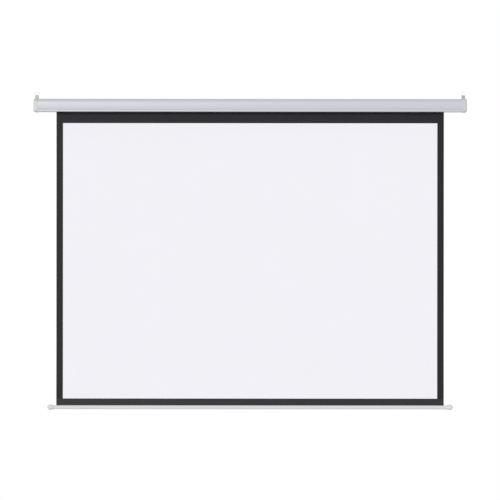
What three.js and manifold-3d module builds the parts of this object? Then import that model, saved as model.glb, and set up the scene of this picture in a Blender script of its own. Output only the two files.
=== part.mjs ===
// A wall-hung pull-down projection screen of the 100 inch class, with a spring roller in a metal case.
// Millimetres, +Z up. The viewer stands on the -Y side, and +X is to the viewer's right.
// The origin is the middle of the case's flat back, where it lies on the wall.

import * as THREE from 'three';
import { mergeVertices } from 'three/addons/utils/BufferGeometryUtils.js';
import Module from 'manifold-3d';

const wasm = await Module();
wasm.setup();

// Cloth
const VIEW_WIDTH = 2032;
const VIEW_HEIGHT = 1496;
const SIDE_BORDER = 34;
const TOP_BORDER = 58;
const BOTTOM_BORDER = 35;
const CLOTH_THICKNESS = 0.4;
const PANEL_THICKNESS = 0.3;

// Case shell, a roll-formed section with a slot along its underside
const CASE_HEIGHT = 70;
const CASE_DEPTH = 68;
const CASE_WALL = 1.6;
const CASE_OVERHANG = 100;
const TOP_FRONT_RADIUS = 20;
const BOTTOM_FRONT_RADIUS = 6;
const BACK_RADIUS = 4;
const BEAD_RADIUS = 6;
const BEAD_PROUD = 2;
const BEAD_ABOVE_BOTTOM = 5.5;
const SLOT_WIDTH = 15;
const LIP_HEIGHT = 6;

// End caps
const CAP_LENGTH = 20;
const CAP_PROUD = 2;
const CAP_WALL = 2.5;
const CAP_DOME = 7;
const CAP_PLUG_DEPTH = 12;
const BOSS_RADIUS = 4.6;
const CAP_SCREW_OFFSET = 22;

// Sheet-metal brackets and wall hangers
const PLATE = 2;
const BRACKET_FLANGE = 26;
const BRACKET_FLANGE_HEIGHT = 50;
const HANGER_LEG_WIDTH = 29;
const HANGER_NECK_WIDTH = 21;
const HANGER_NECK_RISE = 22;
const HANGER_LEG_HEIGHT = 55;
const HANGER_SHOULDER = 24;
const NECK_FROM_END = 2;
const NECK_TAPER = 3;
const EYE_WIDTH = 28;
const EYE_HEIGHT = 19;
const EYE_RIM = 3.5;
const EYE_CORNER = 5.6;
const EYE_THICKNESS = 3;
const EYE_GRIP = 2.6;

// Screws
const SCREW_RADIUS = 1.8;
const SCREW_HEAD_RADIUS = 3.5;
const SCREW_HEAD_HEIGHT = 2.4;
const SINK_HEAD_HEIGHT = 1.5;
const SINK_SCREW_LENGTH = 7;
const SCREW_PAST_PLATE = 2.4;
const CROSS_LENGTH = 4.2;
const CROSS_WIDTH = 1;
const CROSS_DEPTH = 0.9;
const HANGER_SCREW_SPACING = 28;

// Roller
const ROLLER_RADIUS = 19;
const ROLLER_WALL = 1;
const ROLLER_PAST_CLOTH = 70;
const ROLLER_Z = 2;
const LEADER_WRAPS = 2;
const WRAP_GAP = 0.4;
const ROOM_BEHIND_SLOT = 6.5;
const PLUG_DEPTH = 30;
const PLUG_FLOOR = 3;
const POCKET_RADIUS = 2.6;
const POCKET_WALL = 1;
const POCKET_SKIN = 1.2;
const POCKET_SLOT = 1.6;
const FLANGE = 3;

// Spring, its arbor and the idler pin
const ARBOR_RADIUS = 4;
const TONGUE_THICKNESS = 3.5;
const TONGUE_HEIGHT = 7;
const PIN_PAST_BRACKET = 7;
const COLLAR_RADIUS = 10.6;
const COLLAR_LENGTH = 8;
const ANCHOR_LENGTH = 18;
const SPRING_RADIUS = 8.6;
const SPRING_WIRE = 2.2;
const SPRING_LENGTH = 380;
const SPRING_TURNS = 24;
const SPRING_LEAD = 1.8;
const BUSH_WALL = 2;
const BUSH_FLANGE = 9;
const CLIP_RADIUS = 7;
const CLIP_THICKNESS = 1.2;
const GROOVE_DEPTH = 0.9;
const COTTER_RADIUS = 1;
const COTTER_LENGTH = 15;

// Ratchet, which stops the roller when the cloth is let up slowly
const RATCHET_RADIUS = 9;
const RATCHET_THICKNESS = 4;
const RATCHET_TEETH = 4;
const CUP_WALL = 1.5;
const PAWL_PIVOT = 13.6;
const PAWL_REACH = 12;
const PAWL_WIDTH = 3;
const PAWL_BOSS = 2.7;
const PAWL_PIN = 1.2;
const PAWL_CLEAR = 25;
const PAWL_SWING = 30;
const PIN_SEAT = 2.5;
const COVER_THICKNESS = 1;

// Weight bar
const BAR_HEIGHT = 21;
const BAR_DEPTH = 14;
const BAR_CORNER = 6;
const BAR_WALL = 1.2;
const BAR_SLOT = 2.4;
const BAR_OVERHANG = 28;
const BAR_CAP_RADIUS = 14.5;
const BAR_CAP_LENGTH = 32;
const BAR_CAP_GRIP = 12;
const BAR_CAP_WALL = 1;
const HEM_ROD_RADIUS = 3;

// Clearances
const GAP = 0.3;
const NOTCH_ROOM = 0.5;

// Facets
const CORNER_STEPS = 6;
const DOME_STEPS = 6;
const ROUND = 40;
const SMALL_ROUND = 20;

// Places that follow from the sizes
const CLOTH_HALF = VIEW_WIDTH / 2 + SIDE_BORDER;
const SHELL_HALF = CLOTH_HALF + CASE_OVERHANG;
const CASE_HALF = SHELL_HALF + CAP_LENGTH;
const CASE_TOP = CASE_HEIGHT / 2;
const CASE_BOTTOM = -CASE_HEIGHT / 2;
const VIEW_TOP = CASE_BOTTOM - TOP_BORDER;
const VIEW_BOTTOM = VIEW_TOP - VIEW_HEIGHT;
const BAR_TOP = VIEW_BOTTOM - BOTTOM_BORDER;
const BAR_Z = BAR_TOP - BAR_HEIGHT / 2;
const BAR_HALF = CLOTH_HALF + BAR_OVERHANG;
const ROLLER_HALF = CLOTH_HALF + ROLLER_PAST_CLOTH;
const ROLLER_BORE = ROLLER_RADIUS - ROLLER_WALL;
const PLUG_RADIUS = ROLLER_BORE - GAP;
const POCKET_CENTRE = ROLLER_RADIUS - POCKET_SKIN - POCKET_RADIUS;
const WRAP_PITCH = CLOTH_THICKNESS + WRAP_GAP;
const WRAP_START = ROLLER_RADIUS + GAP + CLOTH_THICKNESS / 2;
const DROP_RADIUS = WRAP_START + LEADER_WRAPS * WRAP_PITCH + CLOTH_THICKNESS + GAP;
const CLOTH_Y = -(CASE_WALL + ROOM_BEHIND_SLOT + SLOT_WIDTH / 2 + CASE_WALL);
const ROLLER_Y = CLOTH_Y - DROP_RADIUS;
const CUP_START = ROLLER_HALF + GAP;
const CUP_FLOOR = CUP_START + FLANGE;
const CUP_END = CUP_FLOOR + GAP + RATCHET_THICKNESS + GAP + COVER_THICKNESS;
const BRACKET_OUT = SHELL_HALF - CAP_PLUG_DEPTH - GAP;
const BRACKET_IN = BRACKET_OUT - PLATE;
const FLANGE_Y = -(PLATE + GAP);
const PIN_END = BRACKET_OUT + PIN_PAST_BRACKET;
const SEAT_X = CASE_HALF - SCREW_HEAD_HEIGHT - 2 * GAP;
const HOLE_RADIUS = SCREW_RADIUS + GAP;
const EYE_Z = CASE_TOP + HANGER_NECK_RISE + EYE_HEIGHT / 2;
const NECK_OUT = CASE_HALF - NECK_FROM_END;
const NECK_IN = NECK_OUT - HANGER_NECK_WIDTH;
const EYE_X = (NECK_OUT - NECK_TAPER + NECK_IN) / 2 + NECK_TAPER / 2;
const LEG_IN = NECK_IN - HANGER_LEG_WIDTH;
const LEG_TOP = CASE_TOP - BACK_RADIUS;
const SPRING_OUT = CUP_START - PLUG_DEPTH - COLLAR_LENGTH - 2 * GAP;
const SPRING_IN = SPRING_OUT - SPRING_LENGTH;

const MATERIALS = {
  case_paint: { color: 0xdfe0e4, roughness: 0.42, metalness: 0.1 },
  cap_plastic: { color: 0xdadbdd, roughness: 0.5, metalness: 0 },
  zinc_steel: { color: 0xb4b6b8, roughness: 0.4, metalness: 0.8 },
  white_steel: { color: 0xf0f0f0, roughness: 0.4, metalness: 0.1 },
  screw_steel: { color: 0xa8aaad, roughness: 0.35, metalness: 0.9 },
  roller_aluminium: { color: 0xc2c4c6, roughness: 0.35, metalness: 0.9 },
  moulded_nylon: { color: 0xe6e4dc, roughness: 0.55, metalness: 0 },
  dark_nylon: { color: 0x3a3b3d, roughness: 0.6, metalness: 0 },
  spring_steel: { color: 0x6f7276, roughness: 0.35, metalness: 0.9 },
  black_cloth: { color: 0x2f2f34, roughness: 0.85, metalness: 0 },
  matte_white: { color: 0xf2f1f6, roughness: 0.9, metalness: 0 },
  bar_paint: { color: 0xe0e0e1, roughness: 0.42, metalness: 0.1 },
};

const materialOf = (name) => new THREE.MeshStandardMaterial({ name, ...MATERIALS[name] });

const solidOf = (geometry) => {
  const bare = geometry.clone();
  bare.deleteAttribute('normal');
  bare.deleteAttribute('uv');
  const merged = mergeVertices(bare);
  const vertProperties = new Float32Array(merged.attributes.position.array);
  const triVerts = new Uint32Array(merged.index.array);
  return new wasm.Manifold(new wasm.Mesh({ numProp: 3, vertProperties, triVerts }));
};

const geometryOf = (solid) => {
  const { vertProperties, triVerts } = solid.getMesh();
  const geometry = new THREE.BufferGeometry();
  geometry.setAttribute('position', new THREE.BufferAttribute(vertProperties, 3));
  geometry.setIndex(new THREE.BufferAttribute(triVerts, 1));
  const flat = geometry.toNonIndexed();
  flat.computeVertexNormals();
  return flat;
};

const joined = (first, ...others) => {
  let solid = solidOf(first);
  for (const geometry of others) solid = solid.add(solidOf(geometry));
  return geometryOf(solid);
};

const cut = (geometry, ...tools) => {
  let solid = solidOf(geometry);
  for (const tool of tools) solid = solid.subtract(solidOf(tool));
  return geometryOf(solid);
};

const mirrored = (geometry) => {
  const copy = geometry.index ? geometry.toNonIndexed() : geometry.clone();
  const { array } = copy.attributes.position;
  for (let i = 0; i < array.length; i += 9) {
    for (let k = 0; k < 3; k += 1) {
      const kept = array[i + 3 + k];
      array[i + 3 + k] = array[i + 6 + k];
      array[i + 6 + k] = kept;
    }
    for (let k = 0; k < 9; k += 3) array[i + k] = -array[i + k];
  }
  copy.computeVertexNormals();
  return copy;
};

const box = (low, high) => {
  const size = high.map((value, i) => value - low[i]);
  const middle = high.map((value, i) => (value + low[i]) / 2);
  return new THREE.BoxGeometry(...size).translate(...middle);
};

const shapeOf = (points, holes = []) => {
  const shape = new THREE.Shape(points.map(([u, v]) => new THREE.Vector2(u, v)));
  for (const hole of holes) {
    shape.holes.push(new THREE.Path(hole.map(([u, v]) => new THREE.Vector2(u, v))));
  }
  return shape;
};

// A shape drawn in Y and Z, extruded from x0 to x1.
const prismX = (points, x0, x1, holes = []) => {
  const options = { depth: x1 - x0, bevelEnabled: false };
  const turn = new THREE.Matrix4().makeBasis(
    new THREE.Vector3(0, 1, 0),
    new THREE.Vector3(0, 0, 1),
    new THREE.Vector3(1, 0, 0),
  );
  return new THREE.ExtrudeGeometry(shapeOf(points, holes), options)
    .applyMatrix4(turn)
    .translate(x0, 0, 0);
};

// A shape drawn in X and Z, extruded from its back face towards the viewer.
const prismY = (points, yBack, depth, holes = []) => (
  new THREE.ExtrudeGeometry(shapeOf(points, holes), { depth, bevelEnabled: false })
    .rotateX(Math.PI / 2)
    .translate(0, yBack, 0)
);

const cylinderX = (radius, x0, x1, y = 0, z = 0, steps = SMALL_ROUND) => (
  new THREE.CylinderGeometry(radius, radius, x1 - x0, steps)
    .rotateZ(-Math.PI / 2)
    .translate((x0 + x1) / 2, y, z)
);

// A profile of [x, radius] points turned about the X axis. It starts and ends on the axis or closes on itself.
const turnedX = (profile, steps = ROUND) => (
  new THREE.LatheGeometry(profile.map(([x, r]) => new THREE.Vector2(r, x)), steps)
    .rotateZ(-Math.PI / 2)
);

const ringX = (inner, outer, x0, x1, steps = ROUND) => (
  turnedX([[x0, inner], [x0, outer], [x1, outer], [x1, inner], [x0, inner]], steps)
);

const arc = (y, z, radius, from, to, steps) => {
  const points = [];
  for (let i = 0; i <= steps; i += 1) {
    const angle = from + ((to - from) * i) / steps;
    points.push([y + radius * Math.cos(angle), z + radius * Math.sin(angle)]);
  }
  return points;
};

const roundedRectangle = (width, height, radius, middle = [0, 0]) => {
  const points = [];
  const corners = [[1, 1], [-1, 1], [-1, -1], [1, -1]];
  corners.forEach(([side, up], i) => {
    const u = middle[0] + side * (width / 2 - radius);
    const v = middle[1] + up * (height / 2 - radius);
    points.push(...arc(u, v, radius, (i * Math.PI) / 2, ((i + 1) * Math.PI) / 2, CORNER_STEPS));
  });
  return points;
};

// The case's outline in Y and Z, moved inwards by inset, or outwards where inset is negative.
const caseRing = (inset, backInset = inset) => {
  const front = -CASE_DEPTH + inset;
  const back = -backInset;
  const top = CASE_TOP - inset;
  const bottom = CASE_BOTTOM + inset;
  const radiusOf = (radius) => Math.max(radius - inset, GAP);
  const corners = [
    [back, top, radiusOf(BACK_RADIUS), -1, -1],
    [front, top, radiusOf(TOP_FRONT_RADIUS), 1, -1],
    [front, bottom, radiusOf(BOTTOM_FRONT_RADIUS), 1, 1],
    [back, bottom, radiusOf(BACK_RADIUS), -1, 1],
  ];
  const points = [];
  corners.forEach(([y, z, radius, toY, toZ], i) => {
    const from = (i * Math.PI) / 2;
    const centreY = y + toY * radius;
    const centreZ = z + toZ * radius;
    points.push(...arc(centreY, centreZ, radius, from, from + Math.PI / 2, CORNER_STEPS));
  });
  return points;
};

// A closed solid through rings of equally many points, each ring convex and turning about the way forward.
const skin = (rings) => {
  const count = rings[0].length;
  const last = (rings.length - 1) * count;
  const index = [];
  for (let r = 0; r + 1 < rings.length; r += 1) {
    for (let i = 0; i < count; i += 1) {
      const next = (i + 1) % count;
      const near = r * count;
      const far = near + count;
      index.push(near + i, near + next, far + next);
      index.push(near + i, far + next, far + i);
    }
  }
  for (let i = 1; i + 1 < count; i += 1) {
    index.push(0, i + 1, i);
    index.push(last, last + i, last + i + 1);
  }
  const geometry = new THREE.BufferGeometry();
  geometry.setAttribute('position', new THREE.Float32BufferAttribute(rings.flat(2), 3));
  geometry.setIndex(index);
  return geometry;
};

const screen = new THREE.Group();
const roller = new THREE.Group();
roller.position.set(0, ROLLER_Y, ROLLER_Z);
const bar = new THREE.Group();
bar.position.set(0, CLOTH_Y, BAR_Z);
screen.add(roller, bar);

const put = (group, name, material, geometry, place = [0, 0, 0], turn = [0, 0, 0]) => {
  const mesh = new THREE.Mesh(geometry, materialOf(material));
  mesh.name = name;
  mesh.position.set(...place);
  mesh.rotation.set(...turn);
  group.add(mesh);
};

// Room for the shell's slot and its two folded lips, cut out of whatever plugs into the shell.
const slotRoom = (x0, x1, room = GAP) => {
  const half = SLOT_WIDTH / 2 + CASE_WALL + room;
  const low = [x0, CLOTH_Y - half, CASE_BOTTOM - CAP_PROUD - 1];
  return box(low, [x1, CLOTH_Y + half, CASE_BOTTOM + CASE_WALL + LIP_HEIGHT + room]);
};

// The hanger's outline in X and Z: a leg on the case's back, and a neck that rises above the case.
const hangerOutline = (grow) => [
  [LEG_IN - grow, LEG_TOP - HANGER_LEG_HEIGHT - grow],
  [NECK_IN + grow, LEG_TOP - HANGER_LEG_HEIGHT - grow],
  [NECK_OUT + grow, LEG_TOP - HANGER_LEG_HEIGHT + HANGER_SHOULDER - grow],
  [NECK_OUT + grow, CASE_TOP],
  [NECK_OUT - NECK_TAPER + grow, EYE_Z - EYE_HEIGHT / 2 + EYE_GRIP + grow],
  [NECK_IN - grow, EYE_Z - EYE_HEIGHT / 2 + EYE_GRIP + grow],
  [NECK_IN - grow, LEG_TOP + grow],
  [LEG_IN - grow, LEG_TOP + grow],
];

const hangerScrewPlaces = () => {
  const x = (LEG_IN + BRACKET_IN) / 2;
  const z = LEG_TOP - HANGER_LEG_HEIGHT / 2;
  return [-1, 1].map((way) => [x, -GAP / 2, z + (way * HANGER_SCREW_SPACING) / 2]);
};

const capScrewPlaces = () => [-1, 1].map((way) => [way, -CASE_DEPTH / 2, way * CAP_SCREW_OFFSET]);

const makeShell = () => {
  const beadY = -CASE_DEPTH - BEAD_PROUD + BEAD_RADIUS;
  const beadZ = CASE_BOTTOM + BEAD_ABOVE_BOTTOM;
  const bead = cylinderX(BEAD_RADIUS - GAP, -SHELL_HALF, SHELL_HALF, beadY, beadZ, ROUND);
  const outer = prismX(caseRing(0), -SHELL_HALF, SHELL_HALF);
  const inner = prismX(caseRing(CASE_WALL), -SHELL_HALF - 1, SHELL_HALF + 1);
  const below = box(
    [-SHELL_HALF - 1, -CASE_DEPTH - CASE_WALL - BEAD_PROUD, CASE_BOTTOM - BEAD_RADIUS],
    [SHELL_HALF + 1, 0, CASE_BOTTOM],
  );
  const lipAt = (y) => box(
    [-SHELL_HALF, y, CASE_BOTTOM + CASE_WALL / 2],
    [SHELL_HALF, y + CASE_WALL, CASE_BOTTOM + CASE_WALL + LIP_HEIGHT],
  );
  const slot = box(
    [-SHELL_HALF - 1, CLOTH_Y - SLOT_WIDTH / 2, CASE_BOTTOM - 1],
    [SHELL_HALF + 1, CLOTH_Y + SLOT_WIDTH / 2, CASE_BOTTOM + CASE_WALL + 1],
  );
  const notch = prismY(hangerOutline(GAP), PLATE, 2 * PLATE + GAP);
  const walls = cut(joined(outer, bead), inner, below);
  const lips = [lipAt(CLOTH_Y - SLOT_WIDTH / 2 - CASE_WALL), lipAt(CLOTH_Y + SLOT_WIDTH / 2)];
  put(screen, 'case_shell', 'case_paint', cut(joined(walls, ...lips), slot, notch, mirrored(notch)));
};

// A cap is a domed cover with a thin plug that slides into the shell, and two screw bosses behind its end.
const capCover = () => {
  const ringAt = (x, inset) => caseRing(inset - CAP_PROUD, inset / 2).map(([y, z]) => [x, y, z]);
  const rings = [ringAt(SHELL_HALF, 0)];
  for (let i = 0; i <= DOME_STEPS; i += 1) {
    const angle = (i / DOME_STEPS) * (Math.PI / 2);
    const inset = CAP_DOME * (1 - Math.cos(angle));
    rings.push(ringAt(CASE_HALF - CAP_DOME * (1 - Math.sin(angle)), inset));
  }
  return skin(rings);
};

const makeCaps = () => {
  const plugIn = SHELL_HALF - CAP_PLUG_DEPTH;
  const plugInset = CASE_WALL + GAP;
  const plug = prismX(caseRing(plugInset), plugIn, SHELL_HALF + CAP_WALL);
  const cavity = prismX(caseRing(plugInset + CAP_WALL), plugIn - 1, CASE_HALF - CAP_WALL);
  const hollow = cut(joined(capCover(), plug), cavity, slotRoom(plugIn - 1, SHELL_HALF));
  const bosses = [];
  const bores = [];
  for (const [, y, z] of capScrewPlaces()) {
    bosses.push(cylinderX(BOSS_RADIUS, plugIn, CASE_HALF - CAP_WALL / 2, y, z));
    bores.push(cylinderX(HOLE_RADIUS, plugIn - 1, CASE_HALF + 1, y, z));
    bores.push(cylinderX(SCREW_HEAD_RADIUS + GAP, SEAT_X - GAP, CASE_HALF + 1, y, z));
  }
  const notch = prismY(hangerOutline(GAP), PLATE, 2 * PLATE + GAP);
  const cap = cut(joined(hollow, ...bosses), ...bores, notch);
  put(screen, 'end_cap_right', 'cap_plastic', cap);
  put(screen, 'end_cap_left', 'cap_plastic', mirrored(cap));
};

// A screw along Y: its head ends at y = 0 and its shank runs towards -Y.
const turnedY = (profile) => (
  new THREE.LatheGeometry(profile.map(([r, y]) => new THREE.Vector2(r, y)).reverse(), SMALL_ROUND)
);

const withCross = (screw) => {
  const arm = CROSS_LENGTH / 2;
  const half = CROSS_WIDTH / 2;
  const level = box([-arm, -CROSS_DEPTH, -half], [arm, 1, half]);
  const upright = box([-half, -CROSS_DEPTH, -arm], [half, 1, arm]);
  return cut(screw, level, upright);
};

const sunkScrew = () => withCross(turnedY([
  [0, 0],
  [SCREW_HEAD_RADIUS, 0],
  [SCREW_RADIUS, -SINK_HEAD_HEIGHT],
  [SCREW_RADIUS, -SINK_SCREW_LENGTH],
  [0, -SINK_SCREW_LENGTH],
]));

const sinkTool = () => turnedY([
  [0, 1],
  [SCREW_HEAD_RADIUS + GAP, 1],
  [SCREW_HEAD_RADIUS + GAP, 0],
  [HOLE_RADIUS, -SINK_HEAD_HEIGHT],
  [HOLE_RADIUS, -SINK_SCREW_LENGTH],
  [0, -SINK_SCREW_LENGTH],
]);

const capScrew = (length) => withCross(turnedY([
  [0, 0],
  [SCREW_HEAD_RADIUS, 0],
  [SCREW_HEAD_RADIUS, -SCREW_HEAD_HEIGHT],
  [SCREW_RADIUS, -SCREW_HEAD_HEIGHT],
  [SCREW_RADIUS, -length],
  [0, -length],
]));

const makeHangers = () => {
  const sinks = hangerScrewPlaces().map((place) => sinkTool().translate(...place));
  const hanger = cut(prismY(hangerOutline(0), 0, PLATE), ...sinks);
  put(screen, 'hanger_right', 'zinc_steel', hanger);
  put(screen, 'hanger_left', 'zinc_steel', mirrored(hanger));
  for (const [side, sign] of [['right', 1], ['left', -1]]) {
    hangerScrewPlaces().forEach(([x, y, z], i) => {
      put(screen, `hanger_screw_${side}_${i + 1}`, 'screw_steel', sunkScrew(), [sign * x, y, z]);
    });
  }
};

// The eye is a white loop that grips the top of the hanger's neck and goes over a wall screw or a hook.
const makeEyes = () => {
  const middle = [EYE_X, EYE_Z];
  const outside = roundedRectangle(EYE_WIDTH, EYE_HEIGHT, EYE_CORNER, middle);
  const inWidth = EYE_WIDTH - 2 * EYE_RIM;
  const inHeight = EYE_HEIGHT - 2 * EYE_RIM;
  const inside = roundedRectangle(inWidth, inHeight, inHeight / 2 - GAP, middle);
  const loop = prismY(outside, 0, EYE_THICKNESS, [inside]);
  const eye = cut(loop, prismY(hangerOutline(GAP), PLATE, 2 * PLATE + GAP));
  put(screen, 'hanging_eye_right', 'white_steel', eye);
  put(screen, 'hanging_eye_left', 'white_steel', mirrored(eye));
};

// A bearing bracket closes the shell's section and turns back along the wall to take the hanger's screws.
const bracketBlank = () => {
  const plate = prismX(caseRing(CASE_WALL + 2 * GAP, -FLANGE_Y), BRACKET_IN, BRACKET_OUT);
  const middleZ = LEG_TOP - HANGER_LEG_HEIGHT / 2;
  const flange = box(
    [BRACKET_IN - BRACKET_FLANGE, FLANGE_Y - PLATE, middleZ - BRACKET_FLANGE_HEIGHT / 2],
    [BRACKET_OUT, FLANGE_Y, middleZ + BRACKET_FLANGE_HEIGHT / 2],
  );
  const tools = capScrewPlaces().map(([, y, z]) => (
    cylinderX(HOLE_RADIUS, BRACKET_IN - 1, BRACKET_OUT + 1, y, z)
  ));
  for (const [x, , z] of hangerScrewPlaces()) {
    const bore = new THREE.CylinderGeometry(HOLE_RADIUS, HOLE_RADIUS, 4 * PLATE, SMALL_ROUND);
    tools.push(bore.translate(x, FLANGE_Y - PLATE / 2, z));
  }
  return cut(joined(plate, flange), slotRoom(BRACKET_IN - 1, BRACKET_OUT + 1), ...tools);
};

const makeBrackets = () => {
  const blank = bracketBlank();
  const keyway = box(
    [BRACKET_IN - 1, ROLLER_Y - TONGUE_THICKNESS / 2 - GAP, ROLLER_Z - TONGUE_HEIGHT / 2 - GAP],
    [BRACKET_OUT + 1, ROLLER_Y + TONGUE_THICKNESS / 2 + GAP, ROLLER_Z + TONGUE_HEIGHT / 2 + GAP],
  );
  const bushRadius = ARBOR_RADIUS + GAP + BUSH_WALL + GAP;
  const bore = cylinderX(bushRadius, BRACKET_IN - 1, BRACKET_OUT + 1, ROLLER_Y, ROLLER_Z, ROUND);
  put(screen, 'bracket_right', 'zinc_steel', cut(blank, keyway));
  put(screen, 'bracket_left', 'zinc_steel', mirrored(cut(blank, bore)));
};

const makeCapScrews = () => {
  const length = SEAT_X + SCREW_HEAD_HEIGHT - BRACKET_IN + SCREW_PAST_PLATE;
  const screw = capScrew(length);
  const headX = SEAT_X + SCREW_HEAD_HEIGHT;
  for (const [side, sign] of [['right', 1], ['left', -1]]) {
    capScrewPlaces().forEach(([, y, z], i) => {
      const place = [sign * headX, y, z];
      put(screen, `cap_screw_${side}_${i + 1}`, 'screw_steel', screw, place, [0, 0, (-sign * Math.PI) / 2]);
    });
  }
};

// The roller is an aluminium tube with a pocket inside its wall, where a rod holds the cloth's top edge.
const pocketTool = (radius) => (
  cylinderX(radius, -CASE_HALF, CASE_HALF, 0, POCKET_CENTRE, SMALL_ROUND)
);

const makeTube = () => {
  const wall = ringX(ROLLER_BORE, ROLLER_RADIUS, -ROLLER_HALF, ROLLER_HALF);
  const pocketWall = cylinderX(
    POCKET_RADIUS + POCKET_WALL, -ROLLER_HALF, ROLLER_HALF, 0, POCKET_CENTRE, SMALL_ROUND,
  );
  const mouth = box(
    [-CASE_HALF, -POCKET_SLOT / 2, POCKET_CENTRE],
    [CASE_HALF, POCKET_SLOT / 2, ROLLER_RADIUS + 1],
  );
  const tube = cut(joined(wall, pocketWall), pocketTool(POCKET_RADIUS), mouth);
  put(roller, 'roller_tube', 'roller_aluminium', tube);
  const rod = cylinderX(POCKET_RADIUS - GAP, -CLOTH_HALF, CLOTH_HALF, 0, POCKET_CENTRE);
  put(roller, 'cloth_rod', 'dark_nylon', rod);
};

// The turns of black leader that stay on the roller when the cloth is down, as one spiral strip.
const makeLeader = () => {
  const steps = LEADER_WRAPS * 30;
  const side = (offset) => {
    const points = [];
    for (let i = 0; i <= steps; i += 1) {
      const share = i / steps;
      const radius = WRAP_START + share * LEADER_WRAPS * WRAP_PITCH + offset;
      const angle = (1 - share) * LEADER_WRAPS * 2 * Math.PI;
      points.push([radius * Math.cos(angle), radius * Math.sin(angle)]);
    }
    return points;
  };
  const outline = [...side(CLOTH_THICKNESS / 2), ...side(-CLOTH_THICKNESS / 2).reverse()];
  put(roller, 'wound_leader', 'black_cloth', prismX(outline, -CLOTH_HALF, CLOTH_HALF));
};

const makeIdlerEnd = () => {
  const plugIn = ROLLER_HALF - PLUG_DEPTH;
  const pinIn = plugIn + PLUG_FLOOR;
  const plug = turnedX([
    [plugIn, 0],
    [plugIn, PLUG_RADIUS],
    [ROLLER_HALF + GAP, PLUG_RADIUS],
    [ROLLER_HALF + GAP, ROLLER_RADIUS],
    [ROLLER_HALF + GAP + FLANGE, ROLLER_RADIUS],
    [ROLLER_HALF + GAP + FLANGE, 0],
  ]);
  const seat = cylinderX(ARBOR_RADIUS + GAP, pinIn - GAP, CASE_HALF, 0, 0, ROUND);
  const fitted = cut(plug, seat, pocketTool(POCKET_RADIUS + POCKET_WALL + GAP));
  put(roller, 'roller_plug_left', 'moulded_nylon', mirrored(fitted));
  const grooveIn = BRACKET_OUT + GAP;
  const grooveOut = grooveIn + CLIP_THICKNESS + 2 * GAP;
  const pin = turnedX([
    [pinIn, 0],
    [pinIn, ARBOR_RADIUS],
    [grooveIn, ARBOR_RADIUS],
    [grooveIn, ARBOR_RADIUS - GROOVE_DEPTH],
    [grooveOut, ARBOR_RADIUS - GROOVE_DEPTH],
    [grooveOut, ARBOR_RADIUS],
    [PIN_END, ARBOR_RADIUS],
    [PIN_END, 0],
  ]);
  put(roller, 'idler_pin', 'zinc_steel', mirrored(pin));
  const clip = ringX(ARBOR_RADIUS - GROOVE_DEPTH + GAP, CLIP_RADIUS, grooveIn + GAP, grooveOut - GAP);
  const mouth = box(
    [grooveIn, -ARBOR_RADIUS + GROOVE_DEPTH, -CLIP_RADIUS - 1],
    [grooveOut, ARBOR_RADIUS - GROOVE_DEPTH, 0],
  );
  put(roller, 'idler_clip', 'spring_steel', mirrored(cut(clip, mouth)));
};

const makeBush = () => {
  const inner = ARBOR_RADIUS + GAP;
  const outer = inner + BUSH_WALL;
  const flangeIn = BRACKET_IN - GAP - BUSH_WALL;
  const bush = turnedX([
    [flangeIn, inner],
    [flangeIn, BUSH_FLANGE],
    [BRACKET_IN - GAP, BUSH_FLANGE],
    [BRACKET_IN - GAP, outer],
    [BRACKET_OUT, outer],
    [BRACKET_OUT, inner],
    [flangeIn, inner],
  ]);
  put(screen, 'bearing_bush', 'dark_nylon', mirrored(bush), [0, ROLLER_Y, ROLLER_Z]);
};

// The arbor stays still: its flat tongue sits in the right bracket's keyway, and the roller turns round it.
const makeArbor = () => {
  const place = [0, ROLLER_Y, ROLLER_Z];
  const tongueIn = BRACKET_IN - GAP;
  const cotterX = BRACKET_OUT + 2 * GAP + COTTER_RADIUS;
  const rodIn = SPRING_IN - GAP - ANCHOR_LENGTH;
  const rod = cylinderX(ARBOR_RADIUS, rodIn, tongueIn, 0, 0, ROUND);
  const tongue = box(
    [tongueIn - 1, -TONGUE_THICKNESS / 2, -TONGUE_HEIGHT / 2],
    [PIN_END, TONGUE_THICKNESS / 2, TONGUE_HEIGHT / 2],
  );
  const boreRadius = COTTER_RADIUS + GAP;
  const bore = new THREE.CylinderGeometry(boreRadius, boreRadius, 3 * ARBOR_RADIUS, SMALL_ROUND);
  const arbor = cut(joined(rod, tongue), bore.translate(cotterX, 0, 0));
  put(screen, 'spring_arbor', 'zinc_steel', arbor, place);
  const cotter = new THREE.CylinderGeometry(COTTER_RADIUS, COTTER_RADIUS, COTTER_LENGTH, SMALL_ROUND);
  put(screen, 'arbor_cotter', 'spring_steel', cotter, [cotterX, ROLLER_Y, ROLLER_Z]);
  const collar = cut(
    ringX(ARBOR_RADIUS + GAP, COLLAR_RADIUS, SPRING_OUT, SPRING_OUT + COLLAR_LENGTH),
    cylinderX(SPRING_WIRE / 2 + GAP, SPRING_OUT - 1, SPRING_OUT + COLLAR_LENGTH / 2, 0, SPRING_RADIUS),
  );
  put(screen, 'spring_collar', 'zinc_steel', collar, place);
};

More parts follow.
